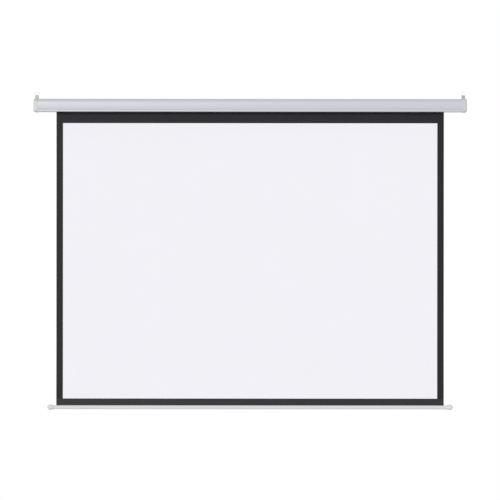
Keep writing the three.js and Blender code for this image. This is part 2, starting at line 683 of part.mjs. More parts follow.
// The spring's wire: a straight end in the collar's hole, then the turns, which stop just short of the anchor.
const springWire = () => {
  const ringAt = (x, angle, along) => {
    const out = new THREE.Vector3(0, Math.sin(angle), Math.cos(angle));
    const across = new THREE.Vector3().crossVectors(along, out);
    return arc(0, 0, SPRING_WIRE / 2, 0, (2 * Math.PI * 4) / 5, 4).map(([u, v]) => (
      out.clone().multiplyScalar(SPRING_RADIUS + u).addScaledVector(across, v)
        .setX(x + across.x * v)
        .toArray()
    ));
  };
  const inwards = new THREE.Vector3(-1, 0, 0);
  const rings = [
    ringAt(SPRING_OUT + COLLAR_LENGTH / 2 - GAP, 0, inwards),
    ringAt(SPRING_OUT - GAP, 0, inwards),
  ];
  const from = SPRING_OUT - GAP - SPRING_LEAD;
  const reach = from - SPRING_IN - GAP - SPRING_WIRE / 2;
  const lean = SPRING_LEAD / SPRING_RADIUS;
  const steps = SPRING_TURNS * 8;
  const rise = reach / (SPRING_TURNS * 2 * Math.PI);
  for (let i = 0; i <= steps; i += 1) {
    const angle = lean + (i / 8) * 2 * Math.PI;
    const along = new THREE.Vector3(-rise, SPRING_RADIUS * Math.cos(angle), -SPRING_RADIUS * Math.sin(angle));
    along.normalize();
    rings.push(ringAt(from - (reach * i) / steps, angle, along));
  }
  return skin(rings);
};

const makeSpring = () => {
  put(screen, 'torsion_spring', 'spring_steel', springWire(), [0, ROLLER_Y, ROLLER_Z]);
  const anchor = cut(
    ringX(ARBOR_RADIUS + GAP, PLUG_RADIUS, SPRING_IN - ANCHOR_LENGTH, SPRING_IN),
    pocketTool(POCKET_RADIUS + POCKET_WALL + GAP),
  );
  put(roller, 'spring_anchor', 'moulded_nylon', anchor);
};

// Ratchet, drawn in Y and Z round the roller's axis. A pawl lies along a line from its pivot to its tip.
const PAWL_START = THREE.MathUtils.degToRad(180 + PAWL_CLEAR);
const PAWL_LOCKED = PAWL_START + THREE.MathUtils.degToRad(PAWL_SWING);

const ratchetOutline = () => {
  const along = [Math.cos(PAWL_LOCKED), Math.sin(PAWL_LOCKED)];
  const outward = [along[1], -along[0]];
  const foot = outward[1] * PAWL_PIVOT;
  const floor = foot - PAWL_WIDTH / 2 - NOTCH_ROOM;
  const face = along[1] * PAWL_PIVOT + PAWL_REACH + PAWL_WIDTH / 2 + NOTCH_ROOM;
  const notch = [
    [-Math.sqrt(RATCHET_RADIUS ** 2 - floor ** 2), floor],
    [face, floor],
    [face, Math.sqrt(RATCHET_RADIUS ** 2 - face ** 2)],
  ].map(([s, h]) => [s * along[0] + h * outward[0], s * along[1] + h * outward[1]]);
  const angleOf = ([y, z]) => Math.atan2(z, y);
  const pitch = (2 * Math.PI) / RATCHET_TEETH;
  const landFrom = angleOf(notch[2]);
  const landTo = angleOf(notch[0]) + pitch;
  const sweep = ((landTo - landFrom) % pitch + pitch) % pitch;
  const points = [];
  for (let k = 0; k < RATCHET_TEETH; k += 1) {
    const turn = k * pitch;
    for (const [y, z] of notch) {
      const angle = angleOf([y, z]) + turn;
      const radius = Math.hypot(y, z);
      points.push([radius * Math.cos(angle), radius * Math.sin(angle)]);
    }
    points.push(...arc(0, 0, RATCHET_RADIUS, landFrom + turn, landFrom + turn + sweep, 4).slice(1, -1));
  }
  return points;
};

const makeRatchet = () => {
  const discIn = CUP_FLOOR + GAP;
  const disc = cut(
    prismX(ratchetOutline(), discIn, discIn + RATCHET_THICKNESS),
    cylinderX(ARBOR_RADIUS + GAP, discIn - 1, discIn + RATCHET_THICKNESS + 1, 0, 0, ROUND),
  );
  put(screen, 'ratchet_disc', 'zinc_steel', disc, [0, ROLLER_Y, ROLLER_Z]);
};

const makeHousing = () => {
  const cupBore = ROLLER_RADIUS - CUP_WALL;
  const plugIn = ROLLER_HALF - PLUG_DEPTH;
  const bore = ARBOR_RADIUS + GAP;
  const housing = turnedX([
    [plugIn, bore],
    [plugIn, PLUG_RADIUS],
    [CUP_START, PLUG_RADIUS],
    [CUP_START, ROLLER_RADIUS],
    [CUP_END, ROLLER_RADIUS],
    [CUP_END, cupBore],
    [CUP_FLOOR, cupBore],
    [CUP_FLOOR, bore],
    [plugIn, bore],
  ]);
  const seats = [1, -1].map((way) => (
    cylinderX(PAWL_PIN + GAP, CUP_FLOOR - PIN_SEAT - GAP, CUP_FLOOR + 1, 0, way * PAWL_PIVOT)
  ));
  const pocket = cylinderX(
    POCKET_RADIUS + POCKET_WALL + GAP, 0, ROLLER_HALF + GAP / 2, 0, POCKET_CENTRE, SMALL_ROUND,
  );
  put(roller, 'ratchet_housing', 'moulded_nylon', cut(housing, pocket, ...seats));
  const coverIn = CUP_END - COVER_THICKNESS;
  const cover = ringX(ARBOR_RADIUS + 4 * GAP, cupBore - GAP, coverIn, CUP_END);
  put(roller, 'ratchet_cover', 'dark_nylon', cover);
};

// The pawls are alike, and the second is turned half round the roller's axis from the first.
const makePawls = () => {
  const tip = [PAWL_REACH * Math.cos(PAWL_START), PAWL_REACH * Math.sin(PAWL_START)];
  const half = PAWL_WIDTH / 2;
  const thickness = RATCHET_THICKNESS - 2 * GAP;
  const tipArc = arc(tip[0], tip[1], half, PAWL_START - Math.PI / 2, PAWL_START + Math.PI / 2, 8);
  const spread = Math.asin(half / PAWL_BOSS);
  const bossArc = arc(0, 0, PAWL_BOSS, PAWL_START + spread, PAWL_START - spread + 2 * Math.PI, 14);
  const hole = arc(0, 0, PAWL_PIN + GAP, 0, 2 * Math.PI * (15 / 16), 15);
  const pawl = prismX([...tipArc, ...bossArc], 0, thickness, [hole]);
  const pawlX = CUP_FLOOR + 2 * GAP;
  const pinIn = CUP_FLOOR - PIN_SEAT;
  const pinOut = CUP_END - COVER_THICKNESS - GAP;
  const pin = cylinderX(PAWL_PIN, 0, pinOut - pinIn);
  for (const [label, way] of [['upper', 1], ['lower', -1]]) {
    const turn = way > 0 ? 0 : Math.PI;
    put(roller, `pawl_${label}`, 'zinc_steel', pawl, [pawlX, 0, way * PAWL_PIVOT], [turn, 0, 0]);
    put(roller, `pawl_pin_${label}`, 'screw_steel', pin, [pinIn, 0, way * PAWL_PIVOT]);
  }
};

// The cloth is a black base sheet with a white viewing panel bonded to its front, inside the border.
const makeCloth = () => {
  const half = CLOTH_THICKNESS / 2;
  const drop = box([-CLOTH_HALF, -half, VIEW_BOTTOM + GAP], [CLOTH_HALF, half, ROLLER_Z]);
  put(screen, 'cloth_drop', 'black_cloth', drop, [0, CLOTH_Y, 0]);
  const panelBack = -half - GAP;
  const panel = box(
    [-VIEW_WIDTH / 2, panelBack - PANEL_THICKNESS, VIEW_BOTTOM + GAP],
    [VIEW_WIDTH / 2, panelBack, VIEW_TOP],
  );
  put(screen, 'viewing_panel', 'matte_white', panel, [0, CLOTH_Y, 0]);
};

// The bar hangs on the cloth's hem: the hem's loop goes round a rod inside the bar, wider than the bar's slot.
const makeBar = () => {
  const outer = roundedRectangle(BAR_DEPTH, BAR_HEIGHT, BAR_CORNER);
  const inner = roundedRectangle(
    BAR_DEPTH - 2 * BAR_WALL, BAR_HEIGHT - 2 * BAR_WALL, BAR_CORNER - BAR_WALL,
  );
  const slot = box(
    [-BAR_HALF - 1, -BAR_SLOT / 2, BAR_HEIGHT / 2 - 2 * BAR_WALL],
    [BAR_HALF + 1, BAR_SLOT / 2, BAR_HEIGHT / 2 + 1],
  );
  put(bar, 'weight_bar', 'bar_paint', cut(prismX(outer, -BAR_HALF, BAR_HALF, [inner]), slot));
};

const makeHem = () => {
  const pocketIn = HEM_ROD_RADIUS + GAP;
  const pocketOut = pocketIn + CLOTH_THICKNESS;
  const rodZ = BAR_HEIGHT / 2 - BAR_WALL - GAP - pocketOut;
  const half = CLOTH_THICKNESS / 2;
  const spread = Math.asin(half / pocketOut);
  const loop = arc(0, rodZ, pocketOut, Math.PI / 2 + spread, (5 * Math.PI) / 2 - spread, 28);
  const top = VIEW_BOTTOM - BAR_Z;
  const hole = arc(0, rodZ, pocketIn, 0, 2 * Math.PI * (23 / 24), 23);
  const outline = [...loop, [half, top], [-half, top]];
  put(bar, 'cloth_hem', 'black_cloth', prismX(outline, -CLOTH_HALF, CLOTH_HALF, [hole]));
  const rod = cylinderX(HEM_ROD_RADIUS, -CLOTH_HALF, CLOTH_HALF, 0, 0, SMALL_ROUND);
  put(bar, 'hem_rod', 'zinc_steel', rod, [0, 0, rodZ]);
};

// A bar cap swells from the bar's end and closes in a dome.
const makeBarCaps = () => {
  const inEnd = BAR_HALF - BAR_CAP_GRIP;
  const outEnd = inEnd + BAR_CAP_LENGTH;
  const neck = BAR_HEIGHT / 2 + GAP + BAR_CAP_WALL;
  const swell = BAR_CAP_LENGTH - BAR_CAP_RADIUS;
  const profile = [[inEnd, 0], [inEnd, neck]];
  for (let i = 1; i <= DOME_STEPS; i += 1) {
    const share = i / DOME_STEPS;
    const eased = share * share * (3 - 2 * share);
    profile.push([inEnd + swell * share, neck + (BAR_CAP_RADIUS - neck) * eased]);
  }
  for (let i = 1; i <= DOME_STEPS; i += 1) {
    const angle = (i / DOME_STEPS) * (Math.PI / 2);
    const radius = i < DOME_STEPS ? BAR_CAP_RADIUS * Math.cos(angle) : 0;
    profile.push([outEnd - BAR_CAP_RADIUS * (1 - Math.sin(angle)), radius]);
  }
  const room = roundedRectangle(BAR_DEPTH + 2 * GAP, BAR_HEIGHT + 2 * GAP, BAR_CORNER + GAP);
  const cap = cut(turnedX(profile), prismX(room, inEnd - 1, BAR_HALF + GAP));
  put(bar, 'bar_cap_right', 'cap_plastic', cap);
  put(bar, 'bar_cap_left', 'cap_plastic', mirrored(cap));
};

makeShell();
makeCaps();
makeHangers();
makeEyes();
makeBrackets();
makeCapScrews();
makeBush();
makeArbor();
makeSpring();
makeRatchet();
makeTube();
makeLeader();
makeIdlerEnd();
makeHousing();
makePawls();
makeCloth();
makeBar();
makeHem();
makeBarCaps();

export default screen;
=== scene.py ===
# %% [markdown]
# # A pull-down projection screen
# A manual projection screen is a long metal case that hangs on a wall by two eyes. A sprung roller inside
# the case winds up a black cloth with a matte white viewing surface, and a weight bar keeps the cloth flat.
# The frame that is loaded here holds every piece at its real size and place. This lesson gives each piece
# that shows its fine shape, and each surface its finish.

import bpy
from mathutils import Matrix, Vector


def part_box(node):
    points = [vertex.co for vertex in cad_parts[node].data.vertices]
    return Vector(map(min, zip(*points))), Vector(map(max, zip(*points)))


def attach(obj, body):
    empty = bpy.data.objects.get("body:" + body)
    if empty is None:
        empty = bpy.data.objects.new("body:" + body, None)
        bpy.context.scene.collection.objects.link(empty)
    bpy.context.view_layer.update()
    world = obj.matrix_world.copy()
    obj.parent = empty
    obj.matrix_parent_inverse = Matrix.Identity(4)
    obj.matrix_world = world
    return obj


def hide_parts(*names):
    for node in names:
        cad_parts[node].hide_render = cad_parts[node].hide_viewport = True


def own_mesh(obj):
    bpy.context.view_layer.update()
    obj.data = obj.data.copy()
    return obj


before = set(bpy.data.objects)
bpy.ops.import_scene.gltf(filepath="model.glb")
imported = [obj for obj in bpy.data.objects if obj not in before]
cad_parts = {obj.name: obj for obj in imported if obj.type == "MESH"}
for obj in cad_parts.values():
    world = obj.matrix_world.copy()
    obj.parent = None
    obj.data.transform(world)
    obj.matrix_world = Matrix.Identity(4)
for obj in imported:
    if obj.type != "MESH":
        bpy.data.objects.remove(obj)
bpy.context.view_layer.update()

# %% Libraries, units and sides
import math

import bmesh
import bpy
from mathutils import Matrix, Vector

MM = 0.001
GAP = 0.3 * MM
SIDES = ((1, "right"), (-1, "left"))

# %% [markdown]
# ## Helpers for node trees
# Shaders and Geometry Nodes are both trees of nodes, so one function can add a node to either, set it up
# and feed its inputs. Colours are written as sRGB hex codes, as a paint chart gives them, and turned into
# the linear light that a shader works in. Every material here ends alike: a pattern mixes two near colours,
# and another makes the surface a little rougher or smoother than its mean.

# %% Add a node, read a colour, begin and finish a material
def node(tree, kind, feeds=None, **settings):
    """Adds a node to a tree. A feed is a value, an output, or a node whose first output is meant."""
    made = tree.nodes.new(kind)
    for name, value in settings.items():
        setattr(made, name, value)
    for socket, value in (feeds or {}).items():
        if isinstance(value, bpy.types.Node):
            value = value.outputs[0]
        if isinstance(value, bpy.types.NodeSocket):
            tree.links.new(value, made.inputs[socket])
        else:
            made.inputs[socket].default_value = value
    return made


def linear(code):
    """Linear values, and an alpha of one, for an sRGB hex code such as dfe0e4."""
    shares = [int(code[i:i + 2], 16) / 255 for i in (0, 2, 4)]
    light = [s / 12.92 if s <= 0.04045 else ((s + 0.055) / 1.055) ** 2.4 for s in shares]
    return [*light, 1.0]


def blank_material(name):
    """A material with an empty tree."""
    material = bpy.data.materials.new(name)
    material.use_nodes = True
    material.node_tree.nodes.clear()
    return material, material.node_tree


def finish(material, colours, tone, roughness, swing, wear, feeds):
    """Ends a material. Tone mixes the two colours, and wear moves the roughness by the swing."""
    tree = material.node_tree
    colour = node(tree, "ShaderNodeMix", {0: tone, 6: linear(colours[0]), 7: linear(colours[1])},
                  data_type="RGBA")
    gloss = node(tree, "ShaderNodeMapRange", {"Value": wear, "To Min": roughness - swing,
                                              "To Max": roughness + swing})
    skin = node(tree, "ShaderNodeBsdfPrincipled", {"Base Color": colour.outputs[2], "Roughness": gloss,
                                                   **feeds})
    node(tree, "ShaderNodeOutputMaterial", {"Surface": skin})
    return material


# %% [markdown]
# ## Powder coat
# The case and the weight bar are steel sheet, roll-formed to their section, sprayed with a dry powder and
# baked. That gives the eye a satin off-white skin with a fine orange peel, over the slow waves that the
# rolls leave along the sheet. Both can be a bump on noise in object space: the peel is 2 mm across, and
# the waves are long and narrow, so their coordinates are stretched along the case.

# %% Powder coat
PEEL = 2 * MM
PEEL_DEPTH = 0.02 * MM
PEEL_SWING = 0.05
ROLL_WAVE = (420 * MM, 16 * MM, 16 * MM)
ROLL_DEPTH = 0.12 * MM


def powder_coat(name, colours, roughness):
    """Powder coat on rolled sheet."""
    material, tree = blank_material(name)
    place = node(tree, "ShaderNodeTexCoord").outputs["Object"]
    rolled = node(tree, "ShaderNodeMapping", {"Vector": place, "Scale": [1 / size for size in ROLL_WAVE]})
    waves = node(tree, "ShaderNodeTexNoise", {"Vector": rolled, "Scale": 1.0, "Detail": 2.0})
    peel = node(tree, "ShaderNodeTexNoise", {"Vector": place, "Scale": 1 / PEEL, "Detail": 2.0})
    bent = node(tree, "ShaderNodeBump", {"Height": waves, "Distance": ROLL_DEPTH})
    rough = node(tree, "ShaderNodeBump", {"Height": peel, "Distance": PEEL_DEPTH, "Normal": bent})
    return finish(material, colours, waves, roughness, PEEL_SWING, peel, {"Normal": rough})


case_coat = powder_coat("powder_coated_case_steel", ("c3c4cb", "bebfc6"), roughness=0.36)
bar_coat = powder_coat("powder_coated_bar_steel", ("d5d5d7", "cfcfd1"), roughness=0.6)
eye_coat = powder_coat("powder_coated_white_eye", ("f0f0f0", "ebebeb"), roughness=0.5)

# %% [markdown]
# ## Moulded plastic
# End caps and bar caps are injection-moulded ABS, and the roller's plugs and bearings are nylon. The mould
# is spark-eroded, which leaves a fine even grain that takes the shine off. The real grain is about 0.4 mm,
# too fine to show, so it is drawn at 0.9 mm. Plastic also passes a little light under its skin.

# %% Moulded plastic
MOULD_GRAIN = 0.9 * MM
GRAIN_DEPTH = 0.025 * MM
FLOW_MARK = 60 * MM
FLOW_SWING = 0.04


def moulded_plastic(name, colours, roughness, glow=0.0):
    """Moulded plastic with spark-eroded grain and faint flow marks."""
    material, tree = blank_material(name)
    place = node(tree, "ShaderNodeTexCoord").outputs["Object"]
    grain = node(tree, "ShaderNodeTexVoronoi", {"Vector": place, "Scale": 1 / MOULD_GRAIN})
    flow = node(tree, "ShaderNodeTexNoise", {"Vector": place, "Scale": 1 / FLOW_MARK, "Distortion": 0.6})
    bump = node(tree, "ShaderNodeBump", {"Height": grain, "Distance": GRAIN_DEPTH})
    return finish(material, colours, flow, roughness, FLOW_SWING, flow,
                  {"Normal": bump, "Subsurface Weight": glow, "Subsurface Scale": MM})


case_cap_abs = moulded_plastic("moulded_abs_end_cap", ("c6c7ca", "c1c2c6"), roughness=0.38, glow=0.05)
bar_cap_abs = moulded_plastic("moulded_abs_bar_cap", ("dadadb", "d4d4d6"), roughness=0.5, glow=0.05)
pale_nylon = moulded_plastic("moulded_natural_nylon", ("e6e3da", "dcd8cd"), roughness=0.55, glow=0.1)
dark_nylon = moulded_plastic("moulded_black_nylon", ("38393b", "303133"), roughness=0.6)

# %% [markdown]
# ## Plated and bare metal
# The hangers and brackets are stamped from galvanised sheet, whose zinc froze in spangles of two near greys,
# over the fine lines of the rolling mill. The screws are bright zinc-plated steel, the roller is extruded
# aluminium with die lines along its length, and the springs are oiled dark wire. All are full metals, so
# one function can make them, with the size of the drawn lines and of the spangle as its values.

# %% Metals
ALONG_CASE = (90 * MM, 0.8 * MM, 0.8 * MM)
UPRIGHT = (0.8 * MM, 0.8 * MM, 40 * MM)
EVEN = (2 * MM, 2 * MM, 2 * MM)
LINE_DEPTH = 0.01 * MM
LINE_SWING = 0.08


def worked_metal(name, colours, roughness, spangle, lines=EVEN, depth=LINE_DEPTH):
    """A metal with lines drawn along an axis and patches of a second tone."""
    material, tree = blank_material(name)
    place = node(tree, "ShaderNodeTexCoord").outputs["Object"]
    drawn = node(tree, "ShaderNodeMapping", {"Vector": place, "Scale": [1 / size for size in lines]})
    streaks = node(tree, "ShaderNodeTexNoise", {"Vector": drawn, "Scale": 1.0, "Detail": 4.0})
    patches = node(tree, "ShaderNodeTexVoronoi", {"Vector": place, "Scale": 1 / spangle})
    tone = node(tree, "ShaderNodeSeparateColor", {"Color": patches.outputs["Color"]})
    bump = node(tree, "ShaderNodeBump", {"Height": streaks, "Distance": depth})
    return finish(material, colours, tone, roughness, LINE_SWING, streaks, {"Normal": bump, "Metallic": 1.0})


zinc_sheet = worked_metal("galvanised_sheet_steel", ("919395", "898b8e"), roughness=0.58, spangle=5 * MM,
                          lines=UPRIGHT)
zinc_screw = worked_metal("zinc_plated_screw_steel", ("b0b2b4", "a4a6a9"), roughness=0.34, spangle=2 * MM)
mill_aluminium = worked_metal("extruded_aluminium", ("c4c6c8", "bcbec1"), roughness=0.36, spangle=30 * MM,
                              lines=ALONG_CASE, depth=0.02 * MM)
spring_wire = worked_metal("oiled_spring_steel", ("6e7174", "5c5f62"), roughness=0.34, spangle=3 * MM)

# %% [markdown]
# ## Screen cloth
# The cloth is a glass-fibre weave coated with PVC. Its back and border are coated black, which swallows
# stray light, and its viewing surface is a matte white that spreads light evenly. Threads lie 0.5 mm apart
# on the real cloth, too fine to show, so the embossed weave is drawn at 1.5 mm, and deeper on the white,
# which hides its own shadows. The valleys between threads are painted a tone darker, as painted shade.
# The weave follows a UV map in metres, so that it stays on the cloth when the cloth moves. A slow mottle,
# about half a metre across, is the unevenness that a coating roller leaves. The hem is welded under heat
# and pressure, which flattens its weave and leaves it shinier and paler.

# %% Screen cloth
THREAD = 1.5 * MM
# How far the weave's valleys are painted darker than its crowns: painted shade.
WEAVE_VALLEY_SHADE = 0.6
MOTTLE = 450 * MM
MOTTLE_SWING = 0.04
WAVE_TEXTURE_TURN = 2 * math.pi / 20


def coated_cloth(name, colours, roughness, gleam, emboss):
    """Coated glass-fibre cloth with an embossed weave."""
    material, tree = blank_material(name)
    place = node(tree, "ShaderNodeUVMap", uv_map="cloth")
    warp, weft = (node(tree, "ShaderNodeTexWave", {"Vector": place, "Scale": WAVE_TEXTURE_TURN / THREAD},
                       bands_direction=across).outputs[1] for across in ("X", "Y"))
    weave = node(tree, "ShaderNodeMath", {0: warp, 1: weft}, operation="MULTIPLY")
    mottle = node(tree, "ShaderNodeTexNoise", {"Vector": place, "Scale": 1 / MOTTLE, "Detail": 3.0})
    # Tone: the weave's valleys painted darker than its crowns, which is painted shade, plus the coat's own
    # mottle.
    tone = node(tree, "ShaderNodeMath", {0: weave, 1: WEAVE_VALLEY_SHADE, 2: mottle}, operation="MULTIPLY_ADD")
    bump = node(tree, "ShaderNodeBump", {"Height": weave, "Distance": emboss})
    return finish(material, colours, tone, roughness, MOTTLE_SWING, mottle,
                  {"Normal": bump, "Specular IOR Level": gleam})


black_cloth = coated_cloth("black_coated_glass_cloth", ("1b1b1f", "28282b"),
                           roughness=0.46, gleam=0.086, emboss=0.08 * MM)
hem_cloth = coated_cloth("black_welded_hem_cloth", ("1b1b1d", "28282a"),
                         roughness=0.44, gleam=0.16, emboss=0.05 * MM)
white_cloth = coated_cloth("matte_white_viewing_surface", ("efeef2", "f1f0f6"),
                           roughness=0.95, gleam=0.1, emboss=0.12 * MM)
print("materials", sorted(m.name for m in bpy.data.materials))

# %% [markdown]
# ## Helpers for meshes
# Most pieces here are one of three forms: a section run along the case, a flat plate, or a profile turned
# on a lathe. Each helper makes a closed mesh and turns its faces outwards. Modifiers such as Boolean and
# Bevel are settled at once, so that every piece ends as a plain mesh at the origin. The Weighted Normal
# modifier keeps large flats flat in smooth shading.

# %% Make, settle and smooth a mesh
SAME_POINT = 0.001 * MM
BEVEL_FROM = 40


def keep(name, points=(), faces=()):
    """An object of points and faces, its doubles merged and its faces turned outwards."""
    mesh = bpy.data.meshes.new(name)
    mesh.from_pydata(points, [], faces)
    work = bmesh.new()
    work.from_mesh(mesh)
    bmesh.ops.remove_doubles(work, verts=work.verts, dist=SAME_POINT)
    bmesh.ops.recalc_face_normals(work, faces=work.faces)
    work.to_mesh(mesh)
    work.free()
    made = bpy.data.objects.new(name, mesh)
    bpy.context.scene.collection.objects.link(made)
    return made


def settle(piece):
    """Turns a piece and its modifiers into one plain mesh."""
    graph = bpy.context.evaluated_depsgraph_get()
    mesh = bpy.data.meshes.new_from_object(piece.evaluated_get(graph))
    piece.modifiers.clear()
    piece.data = mesh
    return piece


def modify(piece, kind, **settings):
    """Puts a piece through one modifier."""
    modifier = piece.modifiers.new(kind, kind)
    for name, value in settings.items():
        setattr(modifier, name, value)
    return settle(piece)


def trim(piece, *tools, operation="DIFFERENCE"):
    """Cuts tools from a piece, or joins them to it, and removes the tools."""
    for tool in tools:
        modify(piece, "BOOLEAN", operation=operation, solver="EXACT", object=tool)
        bpy.data.objects.remove(tool)


def smooth(piece, crease=35):
    """Smooth shading up to an angle, with the large faces kept flat."""
    piece.data.shade_smooth()
    piece.data.set_sharp_from_angle(angle=math.radians(crease))
    return modify(piece, "WEIGHTED_NORMAL", keep_sharp=True)


def soften(piece, width):
    """Rounds the sharp edges of a piece, as deburring or tumbling does."""
    modify(piece, "BEVEL", width=width, segments=3, limit_method="ANGLE",
           angle_limit=math.radians(BEVEL_FROM))


# %% Dress a piece and count its open edges
def open_edges(piece):
    """How many edges of a piece aren't shared by exactly two faces. A closed piece has none."""
    work = bmesh.new()
    work.from_mesh(piece.data)
    count = sum(1 for edge in work.edges if len(edge.link_faces) != 2)
    work.free()
    return count


def dress(piece, *materials, body, slot, nodes):
    """Gives a finished piece its materials and its body, and hides the CAD nodes that it stands for. Slot is
    not used.
    """
    for material in materials:
        if material.name not in piece.data.materials:
            piece.data.materials.append(material)
    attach(piece, body)
    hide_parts(*nodes)
    print(piece.name, len(piece.data.polygons), "faces,", open_edges(piece), "open edges")


# %% Paths and outlines
def arc(middle, radius, start, end, steps=12):
    """Points on a circle between two angles in degrees."""
    turns = [math.radians(start + (end - start) * i / steps) for i in range(steps + 1)]
    return [(middle[0] + radius * math.cos(t), middle[1] + radius * math.sin(t)) for t in turns]


def offset(path, distance):
    """An open path moved to its left, its corners kept sharp."""
    moved = []
    for i, here in enumerate(path):
        sides = []
        for a, b in ((i - 1, i), (i, i + 1)):
            if 0 <= a and b < len(path):
                step = Vector(path[b]) - Vector(path[a])
                sides.append(Vector((-step.y, step.x)).normalized())
        normal = sum(sides, Vector((0, 0))).normalized()
        moved.append(tuple(Vector(here) + normal * (distance / normal.dot(sides[0]))))
    return moved


def rectangle(low, high, inset=0):
    """A rectangle's corners, from its lowest and its highest, with its sides moved inwards by inset."""
    left, bottom = low[0] + inset, low[1] + inset
    right, top = high[0] - inset, high[1] - inset
    return [(left, bottom), (right, bottom), (right, top), (left, top)]


def rounded(corners, radius, steps=6):
    """A polygon with each corner rounded to a radius."""
    points = []
    for i, corner in enumerate(corners):
        here = Vector(corner)
        before = (Vector(corners[i - 1]) - here).normalized()
        after = (Vector(corners[(i + 1) % len(corners)]) - here).normalized()
        half = before.angle(after) / 2
        reach = radius / math.tan(half)
        middle = here + (before + after).normalized() * (radius / math.sin(half))
        first = here + before * reach - middle
        last = here + after * reach - middle
        sweep = first.angle_signed(last)
        for k in range(steps + 1):
            spoke = first.copy()
            spoke.rotate(Matrix.Rotation(-sweep * k / steps, 2))
            points.append(tuple(middle + spoke))
    return points


# %% Lofts, plates, prisms, strips and turned forms
def loft(name, rings):
    """A closed solid through rings of equally many points."""
    count = len(rings[0])
    faces = []
    for r in range(len(rings) - 1):
        for i in range(count):
            j = (i + 1) % count
            faces.append((r * count + i, r * count + j, (r + 1) * count + j, (r + 1) * count + i))
    faces.append(tuple(range(count)))
    faces.append(tuple(range((len(rings) - 1) * count, len(rings) * count)))
    return keep(name, [point for ring in rings for point in ring], faces)


def plate(name, outline, back, front):
    """A flat plate with an outline in X and Z."""
    return loft(name, [[(x, y, z) for x, z in outline] for y in (back, front)])


def prism(name, section, start, end, side=1):
    """A section in Y and Z run along X, from start to end on the right, or mirrored on the left."""
    return loft(name, [[(side * x, y, z) for y, z in section] for x in (start, end)])


def folded_strip(name, path, thickness, start, end):
    """Sheet of one thickness whose outer face follows a path in Y and Z, run along X."""
    return prism(name, [*path, *reversed(offset(path, thickness))], start, end)


def turned(name, profile, place=(0, 0, 0), turn=0, steps=64):
    """A lathe form along X from (x, radius) pairs, then turned by degrees about Z and moved."""
    rings = [[(x, y, z) for y, z in arc((0, 0), radius, 0, 360, steps)[:-1]] for x, radius in profile]
    change = Matrix.Translation(place) @ Matrix.Rotation(math.radians(turn), 4, "Z")
    return loft(name, [[tuple(change @ Vector(point)) for point in ring] for ring in rings])


# %% [markdown]
# ## The case
# The real case is one steel strip, folded by rolls into a box section. It has a flat back for the wall, a
# large radius at the top front, a front that is crowned by a millimetre, which stiffens a long thin sheet,
# a raised band along the front's foot with a fine groove above it, and a slot below that the cloth comes
# through, with both its edges turned up so that they can't cut the cloth. Following the strip from one lip
# to the other and giving it a thickness is what the rolls do, so that is how the mesh is made. The groove
# is so fine that the inside of the sheet doesn't show it, so a thin rod cuts it.

# %% Case section
SHEET = 1.6 * MM
SLOT_WIDTH = 15 * MM
LIP_HEIGHT = 7.6 * MM
LIP_FOLD = 1.9 * MM
BACK_RADIUS = 4 * MM
TOP_RADIUS = 20 * MM
CROWN_RADIUS = 200 * MM
CROWN_LEAN = 6
BAND_RADIUS = 10 * MM
BAND_PROUD = 1.7 * MM
BAND_RISE = 6.4 * MM
FOOT_RADIUS = 1.8 * MM
GROOVE_RADIUS = 0.7 * MM

shell_low, shell_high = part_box("case_shell")
cloth_low, cloth_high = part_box("cloth_drop")
cloth_y = (cloth_low.y + cloth_high.y) / 2
case_front = shell_low.y + BAND_PROUD
case_top = shell_high.z
case_bottom = -case_top
band_middle = (shell_low.y + BAND_RADIUS, case_bottom + BAND_RISE)
band_start = math.acos((case_front - band_middle[0]) / BAND_RADIUS)
groove_z = band_middle[1] + BAND_RADIUS * math.sin(band_start) + GROOVE_RADIUS
top_middle = (case_front + TOP_RADIUS, case_top - TOP_RADIUS)
crown_lean = math.radians(CROWN_LEAN)
crown_middle = (top_middle[0] + (CROWN_RADIUS - TOP_RADIUS) * math.cos(crown_lean),
                top_middle[1] - (CROWN_RADIUS - TOP_RADIUS) * math.sin(crown_lean))
crown_end = 180 + math.degrees(math.asin((crown_middle[1] - groove_z) / CROWN_RADIUS))
print("the front is crowned by", round((case_front - crown_middle[0] + CROWN_RADIUS) / MM, 2), "mm")


def fold_at(y, side):
    """The fold between the case's floor and one of the slot's lips, which stands at y."""
    start = 180 if side > 0 else 270
    return arc((y + side * LIP_FOLD, case_bottom + LIP_FOLD), LIP_FOLD, start, start + 90, steps=5)


def case_path():
    """The case's outer face in Y and Z, from the slot's back lip round to its front lip."""
    lip_top = case_bottom + LIP_HEIGHT
    back_lip = cloth_y + SLOT_WIDTH / 2
    front_lip = cloth_y - SLOT_WIDTH / 2
    return [
        (back_lip, lip_top),
        *fold_at(back_lip, 1),
        *arc((-BACK_RADIUS, case_bottom + BACK_RADIUS), BACK_RADIUS, 270, 360, steps=8),
        *arc((-BACK_RADIUS, case_top - BACK_RADIUS), BACK_RADIUS, 0, 90, steps=8),
        *arc(top_middle, TOP_RADIUS, 90, 180 - CROWN_LEAN, steps=20),
        *arc(crown_middle, CROWN_RADIUS, 180 - CROWN_LEAN, crown_end)[1:],
        *arc(band_middle, BAND_RADIUS, math.degrees(band_start), 180, steps=8),
        *arc((shell_low.y + FOOT_RADIUS, case_bottom + FOOT_RADIUS), FOOT_RADIUS, 180, 270, steps=8),
        *fold_at(front_lip, -1),
        (front_lip, lip_top),
    ]


# %% [markdown]
# ## Wall hangers
# Each end of the case has a galvanised steel plate let into its back, level with it, so that the case
# still lies flat on the wall. A narrow neck stands above the case and carries the eye. Stamped plates have
# rounded corners and slightly rounded edges, which a Bevel gives them, and the holes are countersunk from
# the wall side.

# %% Hanger outline
PLATE = 2 * MM
PLATE_CORNER = 1.6 * MM
PLATE_EDGE = 0.25 * MM
NECK_WIDTH = 21 * MM
NECK_TAPER = 3 * MM
SHOULDER = 24 * MM

hanger_low, hanger_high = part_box("hanger_right")
leg_top = case_top - BACK_RADIUS


